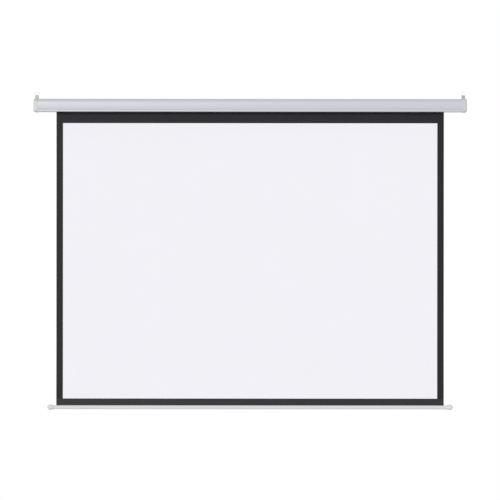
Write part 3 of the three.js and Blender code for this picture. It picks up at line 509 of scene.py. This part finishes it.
def hanger_outline(side, grow):
    """A hanger's corners in X and Z, all sides moved out by grow."""
    neck_in = hanger_high.x - NECK_WIDTH
    left, right = hanger_low.x - grow, hanger_high.x + grow
    bottom, top = hanger_low.z - grow, hanger_high.z + grow
    corners = [
        (left, bottom),
        (neck_in + grow, bottom),
        (right, bottom + SHOULDER),
        (right, case_top),
        (right - NECK_TAPER, top),
        (neck_in - grow, top),
        (neck_in - grow, leg_top + grow),
        (left, leg_top + grow),
    ]
    return [(side * x, z) for x, z in corners]


def hanger_tool(side):
    """Cuts the seat of a hanger out of what it is let into. Side is 1 on the right and -1 on the left."""
    return plate("hanger_tool", hanger_outline(side, GAP), -PLATE - GAP, PLATE)


# %% Make the case
case = folded_strip("case_body", case_path(), SHEET, shell_low.x, shell_high.x)
groove = turned("groove", [(x, GROOVE_RADIUS) for x in (shell_low.x - MM, shell_high.x + MM)],
                (0, case_front, groove_z), steps=16)
trim(case, hanger_tool(1), hanger_tool(-1), groove)
smooth(case)
dress(case, case_coat, body="root", slot="case_paint", nodes=["case_shell"])

# %% Make the hangers
SCREW_HEAD = 3.5 * MM
SCREW_SHANK = 1.8 * MM
SINK_DEPTH = 1.5 * MM
SINK_THROUGH = 4 * MM
PAST = 0.5 * MM


def middles(pair):
    """The middles of two CAD nodes that are numbered 1 and 2."""
    return [sum(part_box(f"{pair}_{i}"), Vector()) / 2 for i in (1, 2)]


def countersink(side, place):
    """The room for one countersunk screw, wide on the wall side. The cone runs on past the plate's face."""
    neck = SCREW_SHANK + GAP
    slope = (SCREW_HEAD - SCREW_SHANK) / SINK_DEPTH
    profile = [(PAST, SCREW_HEAD + GAP + slope * PAST), (-SINK_DEPTH, neck), (-SINK_THROUGH, neck)]
    return turned("sink", profile, (side * place.x, 0, place.z), turn=90, steps=40)


hanger_screws = middles("hanger_screw_right")
for side, word in SIDES:
    hanger = plate(f"hanger_plate_{word}", rounded(hanger_outline(side, 0), PLATE_CORNER), -PLATE, 0)
    soften(hanger, PLATE_EDGE)
    trim(hanger, *[countersink(side, place) for place in hanger_screws])
    smooth(hanger)
    dress(hanger, zinc_sheet, body="root", slot="zinc_steel", nodes=[f"hanger_{word}"])

# %% [markdown]
# ## End caps
# Each end cap is one moulding: a domed cover that stands a little proud of the case, a plug that slides
# into the case, and two bosses that lead the screws to the bracket behind. A loft through a few outlines
# makes the dome, and Booleans hollow it, as the core of the mould does.

# %% The dome of an end cap
CAP_PROUD = 2 * MM
CAP_DOME = 7 * MM
CAP_LIP = MM
FRONT_FOOT_RADIUS = 6 * MM
LIP_STEPS = 4
DOME_STEPS = 10

cap_low, cap_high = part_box("end_cap_right")


def case_outline(inset, back_in):
    """The case's outline in Y and Z, moved inwards by inset, and by back_in at the wall."""
    front, back = case_front + inset, -back_in
    top, bottom = case_top - inset, case_bottom + inset
    corners = [(back, top, BACK_RADIUS, -1, -1, 0), (front, top, TOP_RADIUS, 1, -1, 90),
               (front, bottom, FRONT_FOOT_RADIUS, 1, 1, 180), (back, bottom, BACK_RADIUS, -1, 1, 270)]
    outline = []
    for y, z, full, to_y, to_z, start in corners:
        radius = max(full - inset, GAP)
        outline += arc((y + to_y * radius, z + to_z * radius), radius, start, start + 90, steps=10)
    return outline


def dome_rings(side):
    """Outlines from the rounded lip at the seam, up the dome, to the cap's end face."""
    lip = arc((shell_high.x + CAP_LIP, CAP_LIP), CAP_LIP, 180, 270, LIP_STEPS)
    dome = arc((cap_high.x - CAP_DOME, CAP_DOME), CAP_DOME, 270, 360, DOME_STEPS)
    stages = [(x, inset, 0) for x, inset in lip] + [(x, inset, inset / 2) for x, inset in dome]
    return [[(side * x, y, z) for y, z in case_outline(inset - CAP_PROUD, back_in)]
            for x, inset, back_in in stages]


# %% Make the end caps
CAP_WALL = 2.5 * MM
BOSS_RADIUS = 4.6 * MM
SCREW_RECESS = 3.3 * MM
RECESS_CHAMFER = 0.4 * MM
CHAMFER_PAST = 0.2 * MM

inner, seam, outer = cap_low.x, shell_high.x, cap_high.x
plug_in = SHEET + GAP
hollow_in = plug_in + CAP_WALL
slot_half = SLOT_WIDTH / 2 + SHEET + GAP
slot_section = rectangle((cloth_y - slot_half, case_bottom - MM),
                         (cloth_y + slot_half, case_bottom + LIP_HEIGHT + GAP))
cap_screws = middles("cap_screw_right")
boss_profile = [(inner, BOSS_RADIUS), (outer - CAP_WALL / 2, BOSS_RADIUS)]
seat, shank_room, head_room = outer - SCREW_RECESS, SCREW_SHANK + GAP, SCREW_HEAD + GAP
bore_profile = [(inner - MM, shank_room), (seat, shank_room), (seat, head_room),
                (outer - RECESS_CHAMFER, head_room),
                (outer + CHAMFER_PAST, head_room + RECESS_CHAMFER + CHAMFER_PAST)]
for side, word in SIDES:
    turn = 0 if side > 0 else 180
    bosses = [turned("boss", boss_profile, (0, spot.y, spot.z), turn, steps=48) for spot in cap_screws]
    bores = [turned("bore", bore_profile, (0, spot.y, spot.z), turn, steps=48) for spot in cap_screws]
    cap = loft(f"end_cap_cover_{word}", dome_rings(side))
    plug = prism("plug", case_outline(plug_in, plug_in), inner, seam + CAP_WALL, side)
    trim(cap, plug, operation="UNION")
    hollow = prism("hollow", case_outline(hollow_in, hollow_in), inner - MM, outer - CAP_WALL, side)
    trim(cap, hollow, prism("slot", slot_section, inner - MM, seam, side))
    trim(cap, *bosses, operation="UNION")
    trim(cap, *bores, hanger_tool(side))
    smooth(cap, crease=30)
    dress(cap, case_cap_abs, body="root", slot="cap_plastic", nodes=[f"end_cap_{word}"])

# %% [markdown]
# ## Hanging eyes
# A white loop grips the top of each hanger's neck. It is the part that goes over a wall screw, so its inner
# edge is well rounded. A plate with a hole and a wide bevel gives that, and the seat for the neck is cut
# from behind.

# %% Make the eyes
EYE_CORNER = 5.6 * MM
EYE_RIM = 3.5 * MM
EYE_EDGE = 0.7 * MM

for side, word in SIDES:
    low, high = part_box(f"hanging_eye_{word}")
    hole_radius = (high.z - low.z) / 2 - EYE_RIM - GAP
    outline = rounded(rectangle(low.xz, high.xz), EYE_CORNER, steps=10)
    opening = rounded(rectangle(low.xz, high.xz, EYE_RIM), hole_radius, steps=10)
    eye = plate(f"eye_loop_{word}", outline, low.y, high.y)
    trim(eye, plate("hole", opening, low.y - MM, MM))
    soften(eye, EYE_EDGE)
    trim(eye, hanger_tool(side))
    smooth(eye)
    dress(eye, eye_coat, body="root", slot="white_steel", nodes=[f"hanging_eye_{word}"])

# %% [markdown]
# ## Helpers for Geometry Nodes
# Pieces that repeat or follow a rule are grown by a node tree. Its inputs are named for the sizes of the
# piece, and they are set by socket identifier before the first evaluation. Every tree ends in Realize
# Instances and Set Material, because the exported model can't hold instances, and the result is turned
# into a plain mesh at once.

# %% Open, close and grow a tree
def open_tree(name, **sockets):
    """A geometry tree with these inputs, each named and given a socket type."""
    tree = bpy.data.node_groups.new(name, "GeometryNodeTree")
    for label, kind in sockets.items():
        tree.interface.new_socket(label, in_out="INPUT", socket_type=f"NodeSocket{kind}")
    tree.interface.new_socket("Mesh", in_out="OUTPUT", socket_type="NodeSocketGeometry")
    return tree, node(tree, "NodeGroupInput").outputs


def close_tree(tree, geometry, material):
    """Ends a tree with real geometry and its material."""
    real = node(tree, "GeometryNodeRealizeInstances", {0: geometry})
    painted = node(tree, "GeometryNodeSetMaterial", {"Geometry": real, "Material": material})
    node(tree, "NodeGroupOutput", {0: painted})


def grow(seed, tree, **values):
    """Runs a tree on an object and turns the result into a plain mesh."""
    modifier = seed.modifiers.new("grow", "NODES")
    modifier.node_group = tree
    for item in tree.interface.items_tree:
        if item.in_out == "INPUT" and item.name in values:
            modifier[item.identifier] = values[item.name]
    return settle(seed)


# %% [markdown]
# ## Screws
# Eight screws hold the caps and the hangers. A cap screw has a pan head, and a hanger screw is countersunk.
# Each kind is turned once, with its cross recess, and a tree does the rest: a spiral with a three-sided
# profile is the thread, the screw is set on four points, and each point's own turn gives it the direction
# that it faces and the chance angle at which a driver leaves a cross.

# %% The tree for screws
screw_tree, given = open_tree("threaded_screws", Places="Geometry", Blank="Object", Core="Float",
                              Crest="Float", Pitch="Float", Thread="Float", Tip="Float",
                              Finish="Material")
turns = node(screw_tree, "ShaderNodeMath", {0: given["Thread"], 1: given["Pitch"]}, operation="DIVIDE")
spiral = node(screw_tree, "GeometryNodeCurveSpiral",
              {"Resolution": 14, "Rotations": turns, "Start Radius": given["Core"],
               "End Radius": given["Core"], "Height": given["Thread"]})
depth = node(screw_tree, "ShaderNodeMath", {0: given["Crest"], 1: given["Core"]}, operation="SUBTRACT")
ridge = node(screw_tree, "GeometryNodeCurvePrimitiveCircle", {"Resolution": 3, "Radius": depth})
thread = node(screw_tree, "GeometryNodeCurveToMesh", {0: spiral, 1: ridge, "Fill Caps": True})
start = node(screw_tree, "ShaderNodeCombineXYZ", {0: given["Tip"]})
laid = node(screw_tree, "GeometryNodeTransform", {0: thread, "Translation": start,
                                                  "Rotation": (0, math.pi / 2, 0)})
blank = node(screw_tree, "GeometryNodeObjectInfo", {"Object": given["Blank"]})
screw = node(screw_tree, "GeometryNodeJoinGeometry", {0: laid})
screw_tree.links.new(blank.outputs["Geometry"], screw.inputs[0])
facing = node(screw_tree, "GeometryNodeInputNamedAttribute", {"Name": "facing"}, data_type="FLOAT_VECTOR")
turn = node(screw_tree, "FunctionNodeEulerToRotation", {0: facing})
placed = node(screw_tree, "GeometryNodeInstanceOnPoints",
              {"Points": given["Places"], "Instance": screw, "Rotation": turn})
close_tree(screw_tree, placed, given["Finish"])


# %% Turn a blank and set four screws
CROSS_LENGTH = 4.2 * MM
CROSS_WIDTH = MM
CROSS_DEPTH = 0.9 * MM
CROSS_TAPER = ((-1, 0.7), (1, 1.15))
SHANK = SCREW_SHANK - GAP
SCREW_CORE = 1.35 * MM
THREAD_PITCH = 1.2 * MM
TIP_RADIUS = 0.5 * MM
TIP_LENGTH = MM


def screw_blank(profile, top):
    """A turned screw along X with its head outwards, and a tapered cross recess in its top."""
    blank = turned("screw_blank", profile, steps=32)
    rings = []
    for level, share in CROSS_TAPER:
        arm, half = share * CROSS_LENGTH / 2, share * CROSS_WIDTH / 2
        ring = [(arm, half), (half, half), (half, arm)]
        for _ in range(3):
            ring += [(-z, y) for y, z in ring[-3:]]
        rings.append([(top + level * CROSS_DEPTH, y, z) for y, z in ring])
    trim(blank, loft("cross", rings))
    return smooth(blank)


def set_screws(kind, places, length, neck, plain, crown, azimuths, rolls):
    """Four screws of one kind, each with its x of 0 at a place. The head starts at the neck, plain is how
    far below that the thread stops, and crown pairs heights on the head with how far its edge draws in."""
    tip = TIP_LENGTH - length
    head = [(x, SCREW_HEAD - drawn_in) for x, drawn_in in crown]
    blank = screw_blank([(-length, TIP_RADIUS), (tip, SHANK), (neck, SHANK), *head], head[-1][0])
    seed = keep(f"{kind}s", places)
    facing = seed.data.attributes.new("facing", "FLOAT_VECTOR", "POINT")
    for i, (azimuth, roll) in enumerate(zip(azimuths, rolls)):
        facing.data[i].vector = (math.radians(roll), 0, math.radians(azimuth))
    screws = grow(seed, screw_tree, Blank=blank, Core=SCREW_CORE, Crest=SCREW_SHANK, Pitch=THREAD_PITCH,
                  Thread=neck - plain - tip, Tip=tip, Finish=zinc_screw)
    bpy.data.objects.remove(blank)
    dress(screws, body="root", slot="screw_steel",
          nodes=[f"{kind}_{word}_{i}" for _, word in SIDES for i in (1, 2)])


# %% Make the cap screws and the hanger screws
PAN_HEIGHT = 2.4 * MM
PAN_CROWN = ((0, 0), (1.2 * MM, 0), (1.8 * MM, 0.25 * MM), (2.2 * MM, 0.8 * MM), (PAN_HEIGHT, 1.5 * MM))
SUNK_CROWN = ((-0.15 * MM, 0), (0, 0.1 * MM))

pan_low, pan_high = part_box("cap_screw_right_1")
pan_under = pan_high.x - PAN_HEIGHT
set_screws("cap_screw",
           [(side * pan_under, spot.y, spot.z) for side, _ in SIDES for spot in cap_screws],
           length=pan_under - pan_low.x, neck=0, plain=1.5 * MM, crown=PAN_CROWN,
           azimuths=(0, 0, 180, 180), rolls=(12, 51, 33, 74))

sunk_low, sunk_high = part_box("hanger_screw_right_1")
set_screws("hanger_screw",
           [(side * spot.x, sunk_high.y, spot.z) for side, _ in SIDES for spot in hanger_screws],
           length=sunk_high.y - sunk_low.y, neck=-SINK_DEPTH, plain=0.5 * MM, crown=SUNK_CROWN,
           azimuths=(90, 90, 90, 90), rolls=(20, 66, 41, 8))

# %% [markdown]
# ## The torsion spring
# The spring inside the roller stores the work of pulling the cloth down. Its wire leaves the collar
# straight and then winds 24 close turns. A row of points follows that rule: distance along the axis grows
# evenly, and each point is turned about the axis by an angle that is mapped from the same distance, but
# held still over the straight part. A round profile then makes the wire.

# %% Make the spring
WIRE = 2.2 * MM
SPRING_TURNS = 24
SPRING_STRAIGHT = 5.8 * MM
POINTS_A_TURN = 24

tree, given = open_tree("wound_spring", Seed="Geometry", Count="Int", From="Float", Winding="Float",
                        To="Float", Turns="Float", Radius="Float", Wire="Float", Axis="Vector",
                        Finish="Material")
row = node(tree, "GeometryNodeMeshLine", {"Count": given["Count"]})
number = node(tree, "GeometryNodeInputIndex")
along = node(tree, "ShaderNodeMapRange", {"Value": number, "From Min": 0.0, "From Max": given["Count"],
                                          "To Min": given["From"], "To Max": given["To"]})
sweep = node(tree, "ShaderNodeMath", {0: given["Turns"], 1: 2 * math.pi}, operation="MULTIPLY")
angle = node(tree, "ShaderNodeMapRange", {"Value": along, "From Min": given["Winding"],
                                          "From Max": given["To"], "To Min": 0.0, "To Max": sweep})
upright = node(tree, "ShaderNodeCombineXYZ", {0: along, 2: given["Radius"]})
spot = node(tree, "ShaderNodeVectorRotate", {"Vector": upright, "Angle": angle}, rotation_type="X_AXIS",
            invert=True)
moved = node(tree, "ShaderNodeVectorMath", {0: spot, 1: given["Axis"]})
bent = node(tree, "GeometryNodeSetPosition", {"Geometry": row, "Position": moved})
line = node(tree, "GeometryNodeMeshToCurve", {0: bent})
round_wire = node(tree, "GeometryNodeCurvePrimitiveCircle", {"Resolution": 10, "Radius": given["Wire"]})
wound = node(tree, "GeometryNodeCurveToMesh", {0: line, 1: round_wire, "Fill Caps": True})
close_tree(tree, wound, given["Finish"])

spring_low, spring_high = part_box("torsion_spring")
tube_low, tube_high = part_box("roller_tube")
axis_y, axis_z = (tube_low + tube_high).yz / 2
spring = grow(keep("wound_torsion_spring"), tree, Count=SPRING_TURNS * POINTS_A_TURN,
              From=spring_high.x, Winding=spring_high.x - SPRING_STRAIGHT, To=spring_low.x + WIRE / 2,
              Turns=float(SPRING_TURNS), Radius=(spring_high.y - spring_low.y - WIRE) / 2,
              Wire=WIRE / 2, Axis=(0, axis_y, axis_z), Finish=spring_wire)
smooth(spring)
dress(spring, body="root", slot="spring_steel", nodes=["torsion_spring"])

# %% [markdown]
# ## The leader on the roller
# Two turns of the black cloth stay on the roller when the screen is down, so that their friction carries
# the load and not the glue line. A flat spiral with a thin wide profile is exactly that. Its UV map, in
# metres, is taken along the spiral and along the roller, so that the weave runs on round the roll.

# %% Make the wound leader
CLOTH = 0.4 * MM
LEADER_TURNS = 2

tree, given = open_tree("wound_leader", Seed="Geometry", Turns="Float", Inner="Float", Outer="Float",
                        Width="Float", Thickness="Float", Axis="Vector", Finish="Material")
roll = node(tree, "GeometryNodeCurveSpiral",
            {"Resolution": 48, "Rotations": given["Turns"], "Start Radius": given["Inner"],
             "End Radius": given["Outer"], "Height": 0.0, "Reverse": True})
travel = node(tree, "GeometryNodeSplineParameter")
marked = node(tree, "GeometryNodeStoreNamedAttribute",
              {"Geometry": roll, "Name": "travel", "Value": travel.outputs["Length"]},
              data_type="FLOAT", domain="POINT")
strip = node(tree, "GeometryNodeCurvePrimitiveQuadrilateral", {"Width": given["Thickness"],
                                                               "Height": given["Width"]})
rolled = node(tree, "GeometryNodeCurveToMesh", {0: marked, 1: strip, "Fill Caps": True})
turned_to_x = node(tree, "GeometryNodeTransform", {0: rolled, "Translation": given["Axis"],
                                                   "Rotation": (math.pi / 2, 0, math.pi / 2)})
spot = node(tree, "GeometryNodeInputPosition")
parts = node(tree, "ShaderNodeSeparateXYZ", {0: spot})
length = node(tree, "GeometryNodeInputNamedAttribute", {"Name": "travel"}, data_type="FLOAT")
map_point = node(tree, "ShaderNodeCombineXYZ", {0: parts, 1: length})
mapped = node(tree, "GeometryNodeStoreNamedAttribute",
              {"Geometry": turned_to_x, "Name": "cloth", "Value": map_point},
              data_type="FLOAT2", domain="CORNER")
close_tree(tree, mapped, given["Finish"])

leader_low, leader_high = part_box("wound_leader")
inner_turn = (tube_high.z - axis_z) + GAP + CLOTH / 2
outer_turn = leader_high.y - axis_y - CLOTH / 2
leader_width = leader_high.x - leader_low.x
leader = grow(keep("leader_on_roller"), tree, Turns=float(LEADER_TURNS), Inner=inner_turn,
              Outer=outer_turn, Width=leader_width, Thickness=CLOTH, Axis=(0, axis_y, axis_z),
              Finish=black_cloth)
smooth(leader)
dress(leader, body="roller", slot="black_cloth", nodes=["wound_leader"])

# %% [markdown]
# ## The hem
# At its lower end the cloth goes round a steel rod, comes back up behind itself and is welded there. The
# rod is wider than the bar's slot, so the bar hangs on it. The hem moves with the bar, so it is a strip of
# its own, made as the case is: a path round the rod with the thickness of the cloth. Its UV map is in
# metres, across and down the strip, so that the weave keeps its size round the loop.

# %% Make the hem
WELD_HEIGHT = 14 * MM
LAYER_GAP = 0.05 * MM

hem_low, hem_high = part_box("cloth_hem")
rod_low, rod_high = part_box("hem_rod")
rod_z = (rod_low.z + rod_high.z) / 2
rod_radius = (rod_high.z - rod_low.z) / 2


def hem_path():
    """The hem's outer face in Y and Z, down the front, round the rod and up to the end of the weld."""
    reach = rod_radius + GAP + CLOTH
    front = CLOTH / 2
    back = 3 * CLOTH / 2 + LAYER_GAP
    start = 90 + math.degrees(math.asin(front / reach))
    end = 450 - math.degrees(math.asin(back / reach))
    loop = arc((cloth_y, rod_z), reach, start, end, steps=40)
    return [(cloth_y - front, hem_high.z), *loop, (cloth_y + back, hem_high.z - WELD_HEIGHT)]


def map_cloth(piece, centre=None):
    """A UV map in metres: across the cloth and down it, or round a centre in Y and Z below that point."""
    layer = piece.data.uv_layers.new(name="cloth")
    for loop in piece.data.loops:
        place = piece.data.vertices[loop.vertex_index].co
        down = place.z
        if centre and place.z < centre[1]:
            reach = math.hypot(place.y - centre[0], place.z - centre[1])
            down = centre[1] + reach * math.atan2(place.z - centre[1], abs(place.y - centre[0]))
        layer.data[loop.index].uv = (place.x, down)


hem = folded_strip("hem_loop", hem_path(), CLOTH, hem_low.x, hem_high.x)
map_cloth(hem, (cloth_y, rod_z))
smooth(hem, crease=50)
dress(hem, hem_cloth, body="bar", slot="black_cloth", nodes=["cloth_hem"])

# %% [markdown]
# ## The cloth
# The cloth hangs from the back of the roller, down through the slot, to the weight bar. The white viewing
# surface is bonded to the front of the black base and leaves a border on all sides, 58 mm at the top and
# about 34 mm elsewhere. The border's black coat is printed last and laps over the white by 1.8 mm, so no
# white edge is left bare. The bar's weight keeps the cloth flat but for slow waves of a millimetre, and the
# coated edges curl back a little. A cloth simulation of a sheet under this much tension would only give the
# flat sheet back, so the cloth is a loft through rings of points, one at each height, with a row or column
# of points exactly on each border. When the bar goes up the cloth has to vanish into the case.

# %% Points of the cloth
CELL = 24 * MM
PANEL_RAISE = 0.3 * MM
PANEL_EDGE = 0.3 * MM
BORDER_LAP = 1.8 * MM
HEM_GAP = 0.02 * MM
WAVE = 0.8 * MM
WAVE_MEAN = 1.7
LONG_WAVE = (2.9, 1.7, 0.6)
SWAY = (0.8, 3.1)
SHORT_WAVE = (0.4, 6.3, -1.2)
HELD_BY_ROLLER = 0.3
HELD_BY_BAR = 0.2
CURL_WIDTH = 70 * MM
CURL = 1.6 * MM

panel_low, panel_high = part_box("viewing_panel")
cloth_end = hem_high.z + HEM_GAP


def stations(*marks):
    """Places from the first mark to the last, on every mark and not more than a cell apart between them."""
    places = [marks[0]]
    for a, b in zip(marks, marks[1:]):
        count = math.ceil((b - a) / CELL)
        places += [a + (b - a) * i / count for i in range(1, count + 1)]
    return places


def drape(x, z):
    """How far the cloth stands off its plane, towards the wall: slow waves, and edges that curl."""
    hang = min(1, (cloth_high.z - z) / HELD_BY_ROLLER) * min(1, (z - cloth_end) / HELD_BY_BAR) ** 2
    across, down, start = LONG_WAVE
    wave = WAVE_MEAN + math.sin(across * x + SWAY[0] * math.sin(SWAY[1] * z)) * math.sin(down * z + start)
    height, across, down = SHORT_WAVE
    wave += height * math.sin(across * x + down * z)
    edge = max(0, abs(x) - (cloth_high.x - CURL_WIDTH)) / CURL_WIDTH
    return hang * (WAVE * wave + CURL * edge * edge)


def on_panel(x, z, inset=0):
    """True on the viewing surface, at least inset from its edges."""
    return (panel_low.x + inset <= x <= panel_high.x - inset
            and cloth_end + inset <= z <= panel_high.z - inset)


columns = stations(cloth_low.x, panel_low.x - PANEL_EDGE, panel_low.x, panel_low.x + BORDER_LAP,
                   panel_high.x - BORDER_LAP, panel_high.x, panel_high.x + PANEL_EDGE, cloth_high.x)
rows = stations(cloth_end, cloth_end + BORDER_LAP, panel_high.z - BORDER_LAP, panel_high.z,
                panel_high.z + PANEL_EDGE, cloth_high.z)
print(len(columns), "columns and", len(rows), "rows")

# %% Make the cloth
FACES_FRONT = -0.5


def cloth_ring(z):
    """Points round the cloth at one height: along its front, whose viewing surface is raised, and back."""
    front = [(x, cloth_y - CLOTH / 2 - PANEL_RAISE * on_panel(x, z) + drape(x, z), z) for x in columns]
    return front + [(x, cloth_y + CLOTH / 2 + drape(x, z), z) for x in reversed(columns)]


cloth = loft("screen_cloth", [cloth_ring(z) for z in rows])
map_cloth(cloth)
cloth.data.materials.append(black_cloth)
cloth.data.materials.append(white_cloth)
for face in cloth.data.polygons:
    if face.normal.y < FACES_FRONT and on_panel(face.center.x, face.center.z, BORDER_LAP):
        face.material_index = 1
smooth(cloth)
dress(cloth, body="root", slot="black_cloth", nodes=["cloth_drop", "viewing_panel"])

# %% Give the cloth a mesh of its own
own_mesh(cloth)

# %% [markdown]
# ## The weight bar
# The bar is a steel strip folded to a tube with soft corners. A narrow slot along its top lets the hem
# through. It is the same folded strip as the case, and its open edges face each other across the slot.

# %% Make the weight bar
BAR_WALL = 1.2 * MM
BAR_CORNER = 6 * MM
BAR_SLOT = 2.4 * MM

bar_low, bar_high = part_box("weight_bar")


def bar_path():
    """The bar's outer face in Y and Z, from one edge of the slot round to the other."""
    left, right = bar_low.y + BAR_CORNER, bar_high.y - BAR_CORNER
    top, bottom = bar_high.z - BAR_CORNER, bar_low.z + BAR_CORNER
    open_at = math.degrees(math.asin((BAR_SLOT / 2 - (cloth_y - left)) / BAR_CORNER))
    corners = [(left, top, 90 + open_at, 180), (left, bottom, 180, 270), (right, bottom, 270, 360),
               (right, top, 0, 90 - open_at)]
    return [point for y, z, start, end in corners for point in arc((y, z), BAR_CORNER, start, end)]


weight_bar = folded_strip("bar_tube", bar_path(), BAR_WALL, bar_low.x, bar_high.x)
smooth(weight_bar)
dress(weight_bar, bar_coat, body="bar", slot="bar_paint", nodes=["weight_bar"])

# %% [markdown]
# ## Bar caps
# A round moulded cap closes each end of the bar. It swells from the bar to a fuller, domed end, which is
# what stops the bar against the case. The outside is a lathe form, and the socket for the bar is cut out.

# %% Make the bar caps
MOUTH_LIP = ((0, 0.5), (0.15, 0.15), (0.5, 0))
SWELL_STEPS = 12
TIP_STEPS = 16

bar_cap_low, bar_cap_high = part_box("bar_cap_right")
mouth = bar_cap_low.x
neck_radius = (bar_high.z - bar_low.z) / 2 + GAP + MM
bar_z = (bar_low.z + bar_high.z) / 2
cap_radius = bar_z - bar_cap_low.z
swell_end = bar_cap_high.x - cap_radius


def bar_cap_profile():
    """Pairs of X and radius from the mouth to the tip: a rounded lip, an eased swell and a dome."""
    profile = [(mouth + along * MM, neck_radius - inwards * MM) for along, inwards in MOUTH_LIP]
    for i in range(1, SWELL_STEPS + 1):
        share = i / SWELL_STEPS
        eased = share * share * (3 - 2 * share)
        profile.append((mouth + (swell_end - mouth) * share,
                        neck_radius + (cap_radius - neck_radius) * eased))
    return profile + arc((swell_end, 0), cap_radius, 90, 0, TIP_STEPS)[1:-1]


socket = rounded(rectangle(bar_low.yz, bar_high.yz, -GAP), BAR_CORNER + GAP, steps=12)
for side, word in SIDES:
    turn = 0 if side > 0 else 180
    bar_cap = turned(f"bar_end_cap_{word}", bar_cap_profile(), (0, cloth_y, bar_z), turn, steps=72)
    trim(bar_cap, prism("socket", socket, mouth - MM, bar_high.x + GAP, side))
    smooth(bar_cap)
    dress(bar_cap, bar_cap_abs, body="bar", slot="cap_plastic", nodes=[f"bar_cap_{word}"])

# %% [markdown]
# ## The pieces inside
# Brackets, roller, ratchet and pins keep their shape from the frame. They are small and mostly hidden, but
# each gets the finish of the real one, by the slot that the frame names it with.

# %% Finish the carried-over pieces
FINISHES = {
    "zinc_steel": zinc_sheet,
    "screw_steel": zinc_screw,
    "roller_aluminium": mill_aluminium,
    "moulded_nylon": pale_nylon,
    "dark_nylon": dark_nylon,
    "spring_steel": spring_wire,
    "cap_plastic": case_cap_abs,
}
for name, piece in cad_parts.items():
    if not piece.hide_render:
        used = piece.material_slots[0].material.name.split(".")[0]
        piece.material_slots[0].material = FINISHES[used]
        print(name, "is finished in", FINISHES[used].name)

# %% [markdown]
# ## Floor, camera and light
# The photograph looks straight at the screen from far off against white. The camera stands 12 m in front
# of the cloth, level with the middle of the frame, and is turned a hair, as the photograph is. The world
# is white to the camera and to reflections, and gives the object a soft half of its light. A low sun from
# the front gives the rest, and a faint one lights the back. The front sun stands a little to the left, so
# the satin paint is brighter at the left end of the case, as in the photograph, and the case's rounded top
# and foot turn away from it and come out darker. A pale grey floor lies 0.9 m under the bar, below the
# picture. It sends little light back up, and to the camera it is lifted to white, with the object's shadow
# left on it.

# %% Camera
CAMERA_AWAY = 12.0
CAMERA_RIGHT = -0.6 * MM
CAMERA_HEIGHT = -0.782
CAMERA_ROLL = -0.04
PHOTO_WIDTH = 2.71
SENSOR = 36.0

lens = bpy.data.cameras.new("front_view")
lens.sensor_width = SENSOR
lens.lens = SENSOR * CAMERA_AWAY / PHOTO_WIDTH
lens.clip_end = 60
camera = bpy.data.objects.new("front_view", lens)
camera.location = (CAMERA_RIGHT, cloth_y - CAMERA_AWAY, CAMERA_HEIGHT)
camera.rotation_euler = (math.radians(90), math.radians(CAMERA_ROLL), 0)
scene = bpy.context.scene
scene.collection.objects.link(camera)
scene.camera = camera
scene.view_settings.view_transform = "Standard"

# %% The white room
SOFT_SHARE = 0.48

scene.world = bpy.data.worlds.new("white_room")
scene.world.use_nodes = True
sky = scene.world.node_tree
sky.nodes.clear()


def shown(tree):
    """One where the camera, a reflection or clear plastic looks at the background, and zero for its light."""
    ray = node(tree, "ShaderNodeLightPath").outputs
    seen = ray["Is Camera Ray"]
    for label in ("Is Glossy Ray", "Is Transmission Ray"):
        seen = node(tree, "ShaderNodeMath", {0: seen, 1: ray[label]}, operation="MAXIMUM")
    return seen


level = node(sky, "ShaderNodeMapRange", {"Value": shown(sky), "To Min": SOFT_SHARE, "To Max": 1.0})
white = node(sky, "ShaderNodeBackground", {"Color": linear("ffffff"), "Strength": level})
node(sky, "ShaderNodeOutputWorld", {"Surface": white})

# %% Two suns
# Each gives a surface that faces it a share of full light. Its angles are in degrees: azimuth 0 stands in
# front of the screen, and a lower one further left. Mirrored says whether satin paint and metal reflect it.
SUNS = {
    "front_sun": {"share": 0.588, "azimuth": -16, "height": 11, "spread": 20, "mirrored": True},
    "back_sun": {"share": 0.3, "azimuth": 200, "height": 25, "spread": 30, "mirrored": False},
}
for name, light in SUNS.items():
    sun = bpy.data.lights.new(name, "SUN")
    sun.energy = light["share"] * math.pi
    sun.angle = math.radians(light["spread"])
    holder = bpy.data.objects.new(name, sun)
    holder.rotation_euler = (math.radians(90 - light["height"]), 0, math.radians(light["azimuth"]))
    holder.visible_glossy = light["mirrored"]
    scene.collection.objects.link(holder)

# %% Floor
FLOOR_DROP = 0.9
FLOOR_REACH = 3.4
FLOOR_LIFT = 1.65

floor_paint, tree = blank_material("matte_painted_floor")
plain = node(tree, "ShaderNodeBsdfDiffuse", {"Color": linear("cccccc")})
lifted = node(tree, "ShaderNodeBsdfDiffuse", {"Color": (FLOOR_LIFT, FLOOR_LIFT, FLOOR_LIFT, 1)})
either = node(tree, "ShaderNodeMixShader", {0: shown(tree), 1: plain, 2: lifted})
node(tree, "ShaderNodeOutputMaterial", {"Surface": either})
floor_z = bar_low.z - FLOOR_DROP
floor_square = rectangle((-FLOOR_REACH, -FLOOR_REACH), (FLOOR_REACH, FLOOR_REACH))
floor = keep("floor", [(x, y, floor_z) for x, y in floor_square], [(0, 1, 2, 3)])
floor.data.materials.append(floor_paint)
